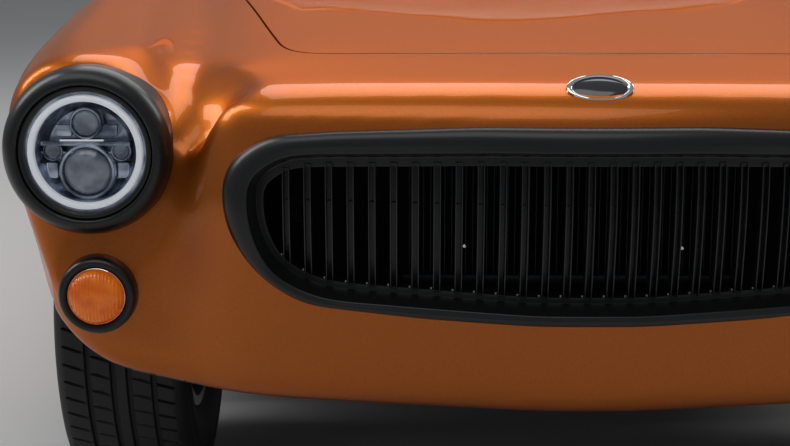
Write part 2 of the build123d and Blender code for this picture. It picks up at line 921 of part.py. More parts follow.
def rear_bench():
    with BuildPart() as bench:
        with BuildSketch(Plane.YZ.offset(-495)):
            with BuildLine():
                FilletPolyline(
                    (at(2700), 400),
                    (at(2700), 480),
                    (at(2900), 450),
                    (at(3010), 850),
                    (at(3058), 850),
                    (at(3058), 400),
                    radius=[10, 40, 50, 25, 10, 0],
                    close=True,
                )
            make_face()
        extrude(amount=990)
        block(-495, 495, 2700, kick_up - 20, floor_z + floor_thick + 135, 410)
    return bench.part


wing = front_wing()
wing_right = mirrored(wing)
surround = grille_surround()
cowl = scuttle()
door_shell = door()
lamp = tail_lamp()
with BuildPart() as rear_quarter:
    add(quarter())
    add(lamp, mode=Mode.SUBTRACT)
quarter_left = rear_quarter.part
quarter_right = mirrored(quarter_left)
deck = deck_piece()
tail = tail_body(quarter_left, quarter_right)
pane_stock = cabin_shell(glass_outer, glass_inner)
front_screen = pane(plan_prism(both_ways(screen_outline), z0=700), cowl)
rear_screen = pane(plan_prism(both_ways(rear_glass_outline), z0=700), tail)
door_pane = pane(side_prism(door_window, 0, 900), door_shell)
rear_side_window = [(2588, 840), (2588, 1196)] + side_window[5:]
quarter_pane = pane(side_prism(rear_side_window, 0, 900), quarter_left)

save(wing, "wing_left")
save(wing_right, "wing_right")
save(nose_panel(), "nose_panel")
save(surround, "grille_surround")
save(grille(), "grille")
save(bonnet(), "bonnet")
save(cowl, "scuttle")
save(door_shell, "door_left")
save(mirrored(door_shell), "door_right")
save(quarter_left, "quarter_left")
save(quarter_right, "quarter_right")
save(roof(wing, wing_right, cowl, tail, quarter_left, quarter_right), "roof")
save(tail, "tail_body")
save(boot_lid(), "boot_lid")
save(floor_pan(), "floor_pan")
save(front_screen, "windscreen")
save(rear_screen, "rear_window")
save(door_pane, "door_glass_left")
save(mirrored(door_pane), "door_glass_right")
save(quarter_pane, "quarter_glass_left")
save(mirrored(quarter_pane), "quarter_glass_right")
for name, piece in (
    ("lamp_bezel", lamp_bezel()),
    ("headlamp", headlamp()),
    ("signal_ring", signal_ring()),
    ("signal_lens", signal_lens()),
    ("tail_lamp", lamp),
    ("knuckle", knuckle(1)),
    ("seat", seat(365)),
):
    save(piece, f"{name}_left")
    save(mirrored(piece), f"{name}_right")
for place, side, rear in (("fl", 1, 0), ("fr", -1, 0), ("rl", 1, 1), ("rr", -1, 1)):
    save(rim(side, rear), f"rim_{place}")
    save(tyre(side, rear), f"tyre_{place}")
save(front_subframe(), "front_subframe")
save(rear_suspension(), "rear_axle")
save(exhaust(), "exhaust")
save(engine(), "engine")
save(radiator(), "radiator")
save(dashboard(), "dashboard")
save(steering_wheel(), "steering_wheel")
save(rear_bench(), "rear_bench")
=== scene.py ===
import bpy
import bmesh
import json
import numpy as np
from math import atan2, copysign, cos, pi, radians, sin, sqrt
from mathutils import Euler, Matrix, Vector
from mathutils.bvhtree import BVHTree

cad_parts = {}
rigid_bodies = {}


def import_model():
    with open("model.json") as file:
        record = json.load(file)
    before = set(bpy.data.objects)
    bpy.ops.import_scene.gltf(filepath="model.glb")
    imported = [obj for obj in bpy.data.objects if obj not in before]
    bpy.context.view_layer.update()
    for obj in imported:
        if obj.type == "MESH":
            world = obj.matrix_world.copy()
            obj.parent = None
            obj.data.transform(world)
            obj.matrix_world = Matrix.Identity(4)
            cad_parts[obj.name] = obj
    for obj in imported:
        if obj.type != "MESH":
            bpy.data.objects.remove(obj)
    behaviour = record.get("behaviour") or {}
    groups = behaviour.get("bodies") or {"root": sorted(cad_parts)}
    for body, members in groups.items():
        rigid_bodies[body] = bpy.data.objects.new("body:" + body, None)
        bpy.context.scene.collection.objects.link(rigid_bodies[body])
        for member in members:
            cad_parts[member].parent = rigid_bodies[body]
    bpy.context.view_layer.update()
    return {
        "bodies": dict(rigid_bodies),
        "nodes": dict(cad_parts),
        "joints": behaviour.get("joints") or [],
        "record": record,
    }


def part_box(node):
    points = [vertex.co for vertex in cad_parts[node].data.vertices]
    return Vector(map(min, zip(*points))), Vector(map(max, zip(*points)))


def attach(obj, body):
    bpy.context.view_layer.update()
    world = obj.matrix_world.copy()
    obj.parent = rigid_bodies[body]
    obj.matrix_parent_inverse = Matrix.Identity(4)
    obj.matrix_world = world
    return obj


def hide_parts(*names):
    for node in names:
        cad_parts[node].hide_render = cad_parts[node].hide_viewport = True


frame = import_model()
nodes = frame["nodes"]
noseY = -2.141 # where station 0 of the drawings lies


def at(station):
    return noseY + station / 1000


view = {
    "place": (-0.228, noseY - 1.936, 0.993),
    "pitch": 12.0,
    "yaw": 0.53,
    "roll": 0.0,
    "lens": 73.4,
}


def cameraTurn(v):
    turn = Euler((radians(90 - v["pitch"]), 0, radians(v["yaw"])), "XYZ").to_matrix()
    return turn @ Matrix.Rotation(radians(v["roll"]), 3, "Z")


def placeCamera(v):
    camera = bpy.data.cameras.new("camera")
    camera.lens = v["lens"]
    camera.sensor_width = 36
    camera.clip_end = 100
    camObject = bpy.data.objects.new("camera", camera)
    bpy.context.scene.collection.objects.link(camObject)
    camObject.matrix_world = Matrix.Translation(v["place"]) @ cameraTurn(v).to_4x4()
    bpy.context.scene.camera = camObject


placeCamera(view)
print("camera placed")

light = {
    "sky": (0.86, 0.89, 0.94),
    "skyStrength": 0.24,
    "backdrop": 0.24,
    "softboxes": [
        # place, aimed at, size, power
        ((-0.9, -3.6, 4.4), (0, -1.4, 0.6), (4.0, 2.4), 40),
        ((-4.0, -1.0, 3.6), (0, -0.4, 0.4), (1.6, 3.0), 80),
        ((4.2, 0.4, 3.4), (0, 0.2, 0.4), (1.6, 3.6), 85),
        ((0.2, 1.2, 4.2), (0, -1.2, 0.6), (4.2, 3.4), 105),
    ],
}


def lightStudio(l):
    world = bpy.data.worlds.new("studio")
    bpy.context.scene.world = world
    world.use_nodes = True
    t = world.node_tree
    back = t.nodes["Background"]
    back.inputs["Color"].default_value = (*l["sky"], 1)
    path = t.nodes.new("ShaderNodeLightPath")
    mix = t.nodes.new("ShaderNodeMix")
    mix.inputs["A"].default_value = l["skyStrength"]
    mix.inputs["B"].default_value = l["backdrop"]
    seen = path.outputs["Is Camera Ray"]
    for kind in ("Is Glossy Ray", "Is Transmission Ray"):
        either = t.nodes.new("ShaderNodeMath")
        either.operation = "MAXIMUM"
        t.links.new(seen, either.inputs[0])
        t.links.new(path.outputs[kind], either.inputs[1])
        seen = either.outputs["Value"]
    t.links.new(seen, mix.inputs["Factor"])
    t.links.new(mix.outputs["Result"], back.inputs["Strength"])
    for i, (place, aim, size, power) in enumerate(l["softboxes"]):
        lamp = bpy.data.lights.new(f"softbox{i}", "AREA")
        lamp.shape = "RECTANGLE"
        lamp.size, lamp.size_y = size
        lamp.energy = power
        lampObject = bpy.data.objects.new(f"softbox{i}", lamp)
        lampObject.location = place
        lampObject.rotation_euler = (Vector(aim) - Vector(place)).to_track_quat("-Z", "Y").to_euler()
        bpy.context.scene.collection.objects.link(lampObject)
    bpy.context.scene.view_settings.view_transform = "Standard"


lightStudio(light)


def shader(name, colour, roughness, metallic=0.0, coat=0.0, coatRough=0.03, spec=0.5, transmission=0.0, ior=1.5):
    m = bpy.data.materials.new(name)
    m.use_nodes = True
    p = m.node_tree.nodes["Principled BSDF"]
    p.inputs["Base Color"].default_value = (*colour, 1)
    p.inputs["Roughness"].default_value = roughness
    p.inputs["Metallic"].default_value = metallic
    p.inputs["Coat Weight"].default_value = coat
    p.inputs["Coat Roughness"].default_value = coatRough
    p.inputs["Specular IOR Level"].default_value = spec
    p.inputs["Transmission Weight"].default_value = transmission
    p.inputs["IOR"].default_value = ior
    return m


def objectNoise(m, scale, detail=2.0, stretch=(1, 1, 1)):
    t = m.node_tree
    coord = t.nodes.new("ShaderNodeTexCoord")
    mapping = t.nodes.new("ShaderNodeMapping")
    mapping.inputs["Scale"].default_value = stretch
    noise = t.nodes.new("ShaderNodeTexNoise")
    noise.inputs["Scale"].default_value = scale
    noise.inputs["Detail"].default_value = detail
    t.links.new(coord.outputs["Object"], mapping.inputs["Vector"])
    t.links.new(mapping.outputs["Vector"], noise.inputs["Vector"])
    return noise


# random tone over a material; on the headlamps' reflector and projector lenses it is painted reflection
def varyColour(m, colourA, colourB, scale, detail=2.0, low=0.35, high=0.65):
    t = m.node_tree
    noise = objectNoise(m, scale, detail)
    ramp = t.nodes.new("ShaderNodeValToRGB")
    ramp.color_ramp.elements[0].position = low
    ramp.color_ramp.elements[1].position = high
    ramp.color_ramp.elements[0].color = (*colourA, 1)
    ramp.color_ramp.elements[1].color = (*colourB, 1)
    t.links.new(noise.outputs["Fac"], ramp.inputs["Fac"])
    t.links.new(ramp.outputs["Color"], t.nodes["Principled BSDF"].inputs["Base Color"])


def addBump(m, scale, strength, distance, detail=3.0, stretch=(1, 1, 1)):
    t = m.node_tree
    noise = objectNoise(m, scale, detail, stretch)
    bump = t.nodes.new("ShaderNodeBump")
    bump.inputs["Strength"].default_value = strength
    bump.inputs["Distance"].default_value = distance
    t.links.new(noise.outputs["Fac"], bump.inputs["Height"])
    t.links.new(bump.outputs["Normal"], t.nodes["Principled BSDF"].inputs["Normal"])


# a faint emission on lamp parts that are not lit: painted light standing in for the light they catch
def paintedGlow(m, colour, strength):
    p = m.node_tree.nodes["Principled BSDF"]
    p.inputs["Emission Color"].default_value = (*colour, 1)
    p.inputs["Emission Strength"].default_value = strength


paintLook = {"deep": (0.4, 0.09, 0.008), "flake": (0.58, 0.15, 0.015), "roughness": 0.36, "metallic": 0.82, "edge": (1.0, 0.5, 0.2)}
paint = shader("burntOrangeMetallic", paintLook["deep"], paintLook["roughness"], paintLook["metallic"], coat=0.45, coatRough=0.015)
varyColour(paint, paintLook["deep"], paintLook["flake"], 1400, 2)
paint.node_tree.nodes["Principled BSDF"].inputs["Specular Tint"].default_value = (*paintLook["edge"], 1)
blackSatin = shader("blackSatin", (0.007, 0.0073, 0.008), 0.36, coat=0.25, coatRough=0.2, spec=0.4)
addBump(blackSatin, 900, 0.05, 0.0003)
ribBlack = shader("ribBlack", (0.015, 0.016, 0.018), 0.36, coat=0.25, coatRough=0.2)
addBump(ribBlack, 700, 0.08, 0.0003)
# near-black: real underseal under the car and in the arches, and also painted shade on enclosed faces of the front
# shell
undersealAndPaintedShade = shader("undersealAndPaintedShade", (0.014, 0.014, 0.015), 0.78)
addBump(undersealAndPaintedShade, 260, 0.5, 0.0015, 5)
castGrey = shader("castGrey", (0.09, 0.09, 0.092), 0.6, 0.6)
addBump(castGrey, 300, 0.4, 0.001, 4)
steelDark = shader("steelDark", (0.13, 0.13, 0.135), 0.45, 0.8)
addBump(steelDark, 400, 0.15, 0.0006)
chrome = shader("chrome", (0.84, 0.85, 0.86), 0.07, 1.0)
addBump(chrome, 60, 0.02, 0.0003)
alloy = shader("alloySilver", (0.5, 0.51, 0.53), 0.3, 0.9, coat=0.4)
addBump(alloy, 500, 0.08, 0.0004)
rubber = shader("tyreRubber", (0.011, 0.011, 0.012), 0.62)
addBump(rubber, 420, 0.25, 0.0005, 4)
sealRubber = shader("sealRubber", (0.013, 0.013, 0.013), 0.5)
addBump(sealRubber, 800, 0.2, 0.0003)
glass = shader("clearGlass", (0.86, 0.92, 0.91), 0.01, spec=0.6, transmission=0.94, ior=1.1)
addBump(glass, 3, 0.01, 0.0002)
lampGlass = shader("lampGlass", (0.97, 0.98, 1.0), 0.0, transmission=1.0, ior=1.06)
addBump(lampGlass, 30, 0.01, 0.0002)
amber = shader("amberLens", (0.75, 0.17, 0.008), 0.1, coat=0.7, transmission=0.35, ior=1.3)
varyColour(amber, (0.72, 0.13, 0.005), (0.98, 0.3, 0.016), 45)
# painted light: a faint glow brightens the amber lenses, front and rear, though no indicator is on
paintedGlow(amber, (0.9, 0.2, 0.01), 0.12)
redLens = shader("redLens", (0.45, 0.008, 0.006), 0.12, coat=0.8, transmission=0.15)
varyColour(redLens, (0.36, 0.006, 0.005), (0.5, 0.012, 0.008), 60)
leather = shader("blackLeather", (0.026, 0.022, 0.02), 0.48, spec=0.4)
addBump(leather, 320, 0.4, 0.0008, 6)
plastic = shader("dashPlastic", (0.022, 0.022, 0.023), 0.55)
addBump(plastic, 600, 0.25, 0.0005, 3)


def finishNode(name, material):
    obj = nodes[name]
    if not obj.material_slots:
        obj.data.materials.append(material)
    for s in obj.material_slots:
        s.material = material


looks = {
    paint: "wing_left wing_right nose_panel bonnet scuttle door_left door_right quarter_left quarter_right roof tail_body boot_lid",
    blackSatin: "grille_surround lamp_bezel_left lamp_bezel_right signal_ring_left signal_ring_right",
    ribBlack: "grille",
    glass: "windscreen rear_window door_glass_left door_glass_right quarter_glass_left quarter_glass_right",
    lampGlass: "headlamp_left headlamp_right",
    amber: "signal_lens_left signal_lens_right",
    redLens: "tail_lamp_left tail_lamp_right",
    rubber: "tyre_fl tyre_fr tyre_rl tyre_rr",
    alloy: "rim_fl rim_fr rim_rl rim_rr",
    steelDark: "knuckle_left knuckle_right front_subframe rear_axle exhaust",
    undersealAndPaintedShade: "floor_pan radiator",
    castGrey: "engine",
    leather: "seat_left seat_right rear_bench",
    plastic: "dashboard steering_wheel",
}
for material, names in looks.items():
    for name in names.split():
        finishNode(name, material)
print("materials on the CAD nodes")


def layFloor():
    m = shader("paleFloor", (0.56, 0.56, 0.55), 0.6)
    addBump(m, 40, 0.05, 0.002)
    bm = bmesh.new()
    bmesh.ops.create_grid(bm, x_segments=2, y_segments=2, size=40)
    mesh = bpy.data.meshes.new("floor")
    bm.to_mesh(mesh)
    bm.free()
    mesh.materials.append(m)
    floor = bpy.data.objects.new("floor", mesh)
    bpy.context.scene.collection.objects.link(floor)


layFloor()


def mergedCopy(name):
    bm = bmesh.new()
    bm.from_mesh(nodes[name].data)
    bmesh.ops.remove_doubles(bm, verts=bm.verts, dist=1e-5)
    return bm


def joinInto(target, part):
    mesh = bpy.data.meshes.new("joining")
    part.to_mesh(mesh)
    part.free()
    target.from_mesh(mesh)
    bpy.data.meshes.remove(mesh)


def looseObject(name, bm):
    mesh = bpy.data.meshes.new(name)
    bm.to_mesh(mesh)
    bm.free()
    obj = bpy.data.objects.new(name, mesh)
    bpy.context.scene.collection.objects.link(obj)
    return obj


def applyModifiers(obj):
    graph = bpy.context.evaluated_depsgraph_get()
    graph.update()
    mesh = bpy.data.meshes.new_from_object(obj.evaluated_get(graph))
    obj.modifiers.clear()
    obj.data = mesh


def newPiece(name, bm, material, body="body", sharp=35, instead=()):
    obj = looseObject(name, bm)
    obj.data.polygons.foreach_set("use_smooth", [True] * len(obj.data.polygons))
    obj.data.set_sharp_from_angle(angle=radians(sharp))
    obj.data.materials.append(material)
    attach(obj, body)
    if instead:
        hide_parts(*instead)
    return obj


axisTurn = {
    "X": Matrix.Rotation(radians(90), 4, "Y"),
    "Y": Matrix.Rotation(radians(-90), 4, "X"),
    "Z": Matrix.Identity(4),
}


def rod(axis, centre, radius, length, segments=96, radius2=None):
    bm = bmesh.new()
    end = radius if radius2 is None else radius2
    bmesh.ops.create_cone(bm, cap_ends=True, segments=segments, radius1=radius, radius2=end, depth=length)
    bmesh.ops.transform(bm, matrix=Matrix.Translation(centre) @ axisTurn[axis], verts=bm.verts)
    return bm


def lathe(profile, centre, axis="Y", steps=96, closed=True):
    # profile holds (radius, distance along the axis) in millimetres
    bm = bmesh.new()
    verts = [bm.verts.new((r / 1000, 0, a / 1000)) for r, a in profile]
    edges = [bm.edges.new(pair) for pair in zip(verts, verts[1:])]
    if closed:
        edges.append(bm.edges.new((verts[-1], verts[0])))
    bmesh.ops.spin(bm, geom=verts + edges, cent=(0, 0, 0), axis=(0, 0, 1), angle=2 * pi, steps=steps, use_merge=True)
    bmesh.ops.remove_doubles(bm, verts=bm.verts, dist=1e-6)
    bmesh.ops.recalc_face_normals(bm, faces=bm.faces)
    bmesh.ops.transform(bm, matrix=Matrix.Translation(centre) @ axisTurn[axis], verts=bm.verts)
    return bm


def boxShape(centre, size, round=0.0, segments=3, turn=None):
    bm = bmesh.new()
    bmesh.ops.create_cube(bm, size=1, matrix=Matrix.Diagonal((*size, 1)))
    if round:
        bmesh.ops.bevel(bm, geom=bm.edges[:], offset=round, segments=segments, profile=0.5, affect="EDGES", material=-1)
    place = Matrix.Translation(centre)
    bmesh.ops.transform(bm, matrix=place @ turn if turn else place, verts=bm.verts)
    return bm


frontSkin = {
    "voxel": 0.008,
    "softRounds": 8,
    "valleyRounds": 100,
    "valleyWidth": 75,
    "valleyLine": [(150, 523), (270, 543), (564, 575), (764, 605), (1100, 640)], # station, distance from the middle
    "lidPlan": [
        (0, 283), (220, 283.5), (300, 285), (350, 289), (378, 301), (396, 323), (410, 360), (436, 480), (528, 917),
        (572, 1150), (584, 1280), (585, 1390), (570, 1405), (0, 1405),
    ],
    "lidGap": 0.0034,
    "lidThick": 0.02,
    "valleyFloor": [(140, 596), (158, 636), (200, 682), (264, 710), (364, 737), (564, 760), (764, 777)], # station, height
    "lampBlend": (0.185, 0.06, 310),
    "lamp": (0.652, 0.6455, 0.112),
    "signal": (0.642, 0.455, 0.052),
    "arch": 0.356,
}


def lineAt(line, key):
    for (a, va), (b, vb) in zip(line, line[1:]):
        if key <= b:
            return va + (vb - va) * max(0, key - a) / (b - a)
    return line[-1][1]


def cutWith(shell, cutters):
    for c in cutters:
        m = shell.modifiers.new("cut", "BOOLEAN")
        m.operation = "DIFFERENCE"
        m.object = c
        m.solver = "MANIFOLD"
    applyModifiers(shell)
    for c in cutters:
        bpy.data.objects.remove(c)


def softShell(name, bm, look, weightAt, limitAt=None):
    # one even grid over the joined panels, softened all over and more where weightAt says so
    shell = looseObject(name, bm)
    grid = shell.modifiers.new("grid", "REMESH")
    grid.mode = "VOXEL"
    grid.voxel_size = look["voxel"]
    soft = shell.modifiers.new("soft", "SMOOTH")
    soft.factor = 0.5
    soft.iterations = look["softRounds"]
    applyModifiers(shell)
    if limitAt:
        for v in shell.data.vertices:
            v.co.z = min(v.co.z, limitAt(abs(v.co.x) * 1000, (v.co.y - noseY) * 1000, v.co.z * 1000) / 1000)
    group = shell.vertex_groups.new(name="blend")
    weights = {}
    for v in shell.data.vertices:
        w = round(weightAt(abs(v.co.x) * 1000, (v.co.y - noseY) * 1000, v.co.z * 1000), 1)
        if w > 0:
            weights.setdefault(w, []).append(v.index)
    for w, indices in weights.items():
        group.add(indices, w, "REPLACE")
    blendMore = shell.modifiers.new("blend", "SMOOTH")
    blendMore.factor = 0.5
    blendMore.iterations = look["valleyRounds"]
    blendMore.vertex_group = "blend"
    applyModifiers(shell)
    return shell


def treeOf(obj):
    bm = bmesh.new()
    bm.from_mesh(obj.data)
    tree = BVHTree.FromBMesh(bm)
    bm.free()
    return tree


def shiftedCopy(obj, name, shift):
    other = bpy.data.objects.new(name, obj.data.copy())
    other.data.transform(Matrix.Translation(shift))
    bpy.context.scene.collection.objects.link(other)
    return other


def dressShell(shell, look, isDarkInner, instead):
    # paint outside, near-black where the given test says so, as two pieces: real underseal in the arches and
    # underneath, the same near-black inside the mouth, the lamp bores and the engine bay, and painted shade on enclosed
    # faces
    mesh = shell.data
    inside = [isDarkInner(p.center, p.normal) for p in mesh.polygons]
    mesh.polygons.foreach_set("use_smooth", [True] * len(mesh.polygons))
    mesh.set_sharp_from_angle(angle=radians(35))
    darkInner = bpy.data.objects.new(shell.name + "DarkInner", mesh.copy())
    bpy.context.scene.collection.objects.link(darkInner)
    for obj, drop, material in ((shell, True, paint), (darkInner, False, undersealAndPaintedShade)):
        bm = bmesh.new()
        bm.from_mesh(obj.data)
        bm.faces.ensure_lookup_table()
        bmesh.ops.delete(bm, geom=[f for f in bm.faces if inside[f.index] == drop], context="FACES")
        bm.to_mesh(obj.data)
        bm.free()
        obj.vertex_groups.clear()
        obj.data.materials.clear()
        obj.data.materials.append(material)
        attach(obj, "body")
    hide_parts(*instead)
    print(shell.name, len(shell.data.polygons), "outer and", len(darkInner.data.polygons), "inner faces")


def faceTerms(x, z):
    u = (np.asarray(x) / 0.5) ** 2
    w = (np.asarray(z) - 0.57) / 0.15
    return np.stack([u**i * w**j for i in range(4) for j in range(4)], axis=-1)


def fitNoseFace():
    # the nose's own curve, taken off the front of the grille surround, which stands 10 mm proud of it
    mesh = nodes["grille_surround"].data
    points = set()
    for p in mesh.polygons:
        if p.normal.y < -0.75:
            points.update(tuple(mesh.vertices[i].co) for i in p.vertices)
    x, y, z = np.array(sorted(points)).T
    terms = faceTerms(x, z)
    found = np.linalg.lstsq(terms, y + 0.010, rcond=None)[0]
    print("nose face fits to", round(float(np.abs(terms @ found - y - 0.010).max()) * 1000, 2), "mm")
    return found


noseFit = fitNoseFace()


def noseFace(x, z):
    return float(faceTerms(x, z) @ noseFit)


mouthCentre = np.array((0, 0.566))


def rimOfMouth(outer):
    # the outer or the inner edge of the surround's front, in order round the mouth
    bm = mergedCopy("grille_surround")
    rim = set()
    for e in bm.edges:
        if len(e.link_faces) != 2:
            continue
        mid = (e.verts[0].co + e.verts[1].co) / 2
        pair = list(e.link_faces)
        for front, side in (pair, pair[::-1]):
            a, b = front.normal, side.normal
            outwards = b.x * mid.x + b.z * (mid.z - mouthCentre[1])
            if a.y < -0.75 and abs(b.y) < 0.3 and (outwards > 0) == outer:
                rim.update((v.co.x, v.co.z) for v in e.verts)
    bm.free()
    return np.array(sorted(rim, key=lambda c: atan2(c[1] - mouthCentre[1], c[0])))


def evenLoop(ring, count):
    closed = np.vstack([ring, ring[:1]])
    length = np.concatenate([[0], np.cumsum(np.hypot(*np.diff(closed, axis=0).T))])
    steps = np.linspace(0, length[-1], count, endpoint=False)
    even = np.stack([np.interp(steps, length, closed[:, i]) for i in (0, 1)], axis=1)
    for turn in range(3):
        even = (np.roll(even, 1, axis=0) + 2 * even + np.roll(even, -1, axis=0)) / 4
    along = np.roll(even, -1, axis=0) - np.roll(even, 1, axis=0)
    along /= np.hypot(*along.T)[:, None]
    return even, np.stack([-along[:, 1], along[:, 0]], axis=1)


loop, inward = evenLoop(rimOfMouth(True), 360)
lipRing = rimOfMouth(False)


def reachOf(p, direction, ring):
    # how far a ray from p in the plane goes before it meets a closed ring of points
    best = 1.0
    for a, b in zip(ring, np.roll(ring, -1, axis=0)):
        edge = b - a
        cross = direction[0] * edge[1] - direction[1] * edge[0]
        if abs(cross) < 1e-12:
            continue
        gap = a - p
        along = (gap[0] * edge[1] - gap[1] * edge[0]) / cross
        share = (gap[0] * direction[1] - gap[1] * direction[0]) / cross
        if along > 0 and 0 <= share <= 1:
            best = min(best, along)
    return best


band = np.array([reachOf(p, n, lipRing) for p, n in zip(loop, inward)])
for turn in range(6):
    band = (np.roll(band, 1) + 2 * band + np.roll(band, -1)) / 4


def mouthRing(share, extra):
    # a ring inside the mouth's edge: a share of the band's width and some millimetres more
    return loop + inward * (band * share + extra / 1000)[:, None]


def isInside(p, ring):
    x, z = p
    a, b = ring, np.roll(ring, -1, axis=0)
    crosses = (a[:, 1] > z) != (b[:, 1] > z)
    with np.errstate(divide="ignore", invalid="ignore"):
        at = (b[:, 0] - a[:, 0]) * (z - a[:, 1]) / (b[:, 1] - a[:, 1]) + a[:, 0]
    return bool(np.sum(crosses & (x < at)) % 2)


def prismOver(ring, plane, low, high):
    # a closed prism over a ring: plane "XZ" runs along Y, plane "XY" runs along Z
    bm = bmesh.new()
    flat = plane == "XZ"
    row = [bm.verts.new((a, low, b) if flat else (a, b, low)) for a, b in ring]
    face = bm.faces.new(row)
    out = bmesh.ops.extrude_face_region(bm, geom=[face])["geom"]
    rise = (0, high - low, 0) if flat else (0, 0, high - low)
    bmesh.ops.translate(bm, vec=rise, verts=[g for g in out if isinstance(g, bmesh.types.BMVert)])
    bmesh.ops.recalc_face_normals(bm, faces=bm.faces)
    return bm


def mouthPlug(look):
    # closes the mouth for the softening, so that its edge can be cut sharp afterwards
    bm = bmesh.new()
    bmesh.ops.create_grid(bm, x_segments=130, y_segments=40, size=0.5, matrix=Matrix.Diagonal((1, 0.3, 1, 1)))
    ring = loop - inward * 0.006
    for v in bm.verts:
        v.co.y += mouthCentre[1]
    bmesh.ops.delete(bm, geom=[f for f in bm.faces if not isInside(f.calc_center_median()[:2], ring)], context="FACES")
    for v in bm.verts:
        x, z = v.co.x, v.co.y
        v.co = (x, noseFace(x, z) + 0.0002, z)
    out = bmesh.ops.extrude_face_region(bm, geom=bm.faces[:])["geom"]
    bmesh.ops.translate(bm, vec=(0, 0.03, 0), verts=[g for g in out if isinstance(g, bmesh.types.BMVert)])
    bmesh.ops.recalc_face_normals(bm, faces=bm.faces)
    return bm


def largestIsland(bm):
    left = set(bm.faces)
    islands = []
    while left:
        seed = left.pop()
        island, queue = {seed}, [seed]
        while queue:
            for e in queue.pop().edges:
                for f in e.link_faces:
                    if f in left:
                        left.discard(f)
                        island.add(f)
                        queue.append(f)
        islands.append(island)
    return max(islands, key=len)


def bonnetLid(shell, ring, look):
    # the lid is cut from the same soft skin as the wings, so the surface runs on across the gap
    lid = shiftedCopy(shell, "bonnetLid", (0, 0, 0))
    prism = looseObject("lidPrism", prismOver(ring, "XY", 0.69, 1.0))
    keep = lid.modifiers.new("keep", "BOOLEAN")
    keep.operation = "INTERSECT"
    keep.object = prism
    keep.solver = "MANIFOLD"
    applyModifiers(lid)
    bpy.data.objects.remove(prism)
    bm = bmesh.new()
    bm.from_mesh(lid.data)
    bpy.data.objects.remove(lid)
    bmesh.ops.delete(bm, geom=[f for f in bm.faces if f.normal.z < 0.4], context="FACES")
    top = largestIsland(bm)
    bmesh.ops.delete(bm, geom=[f for f in bm.faces if f not in top], context="FACES")
    out = bmesh.ops.extrude_face_region(bm, geom=bm.faces[:])["geom"]
    under = [g for g in out if isinstance(g, bmesh.types.BMVert)]
    bmesh.ops.translate(bm, vec=(0, 0, -look["lidThick"]), verts=under)
    bmesh.ops.recalc_face_normals(bm, faces=bm.faces)
    newPiece("bonnetLid", bm, paint, body="bonnet", sharp=40, instead=("bonnet",))


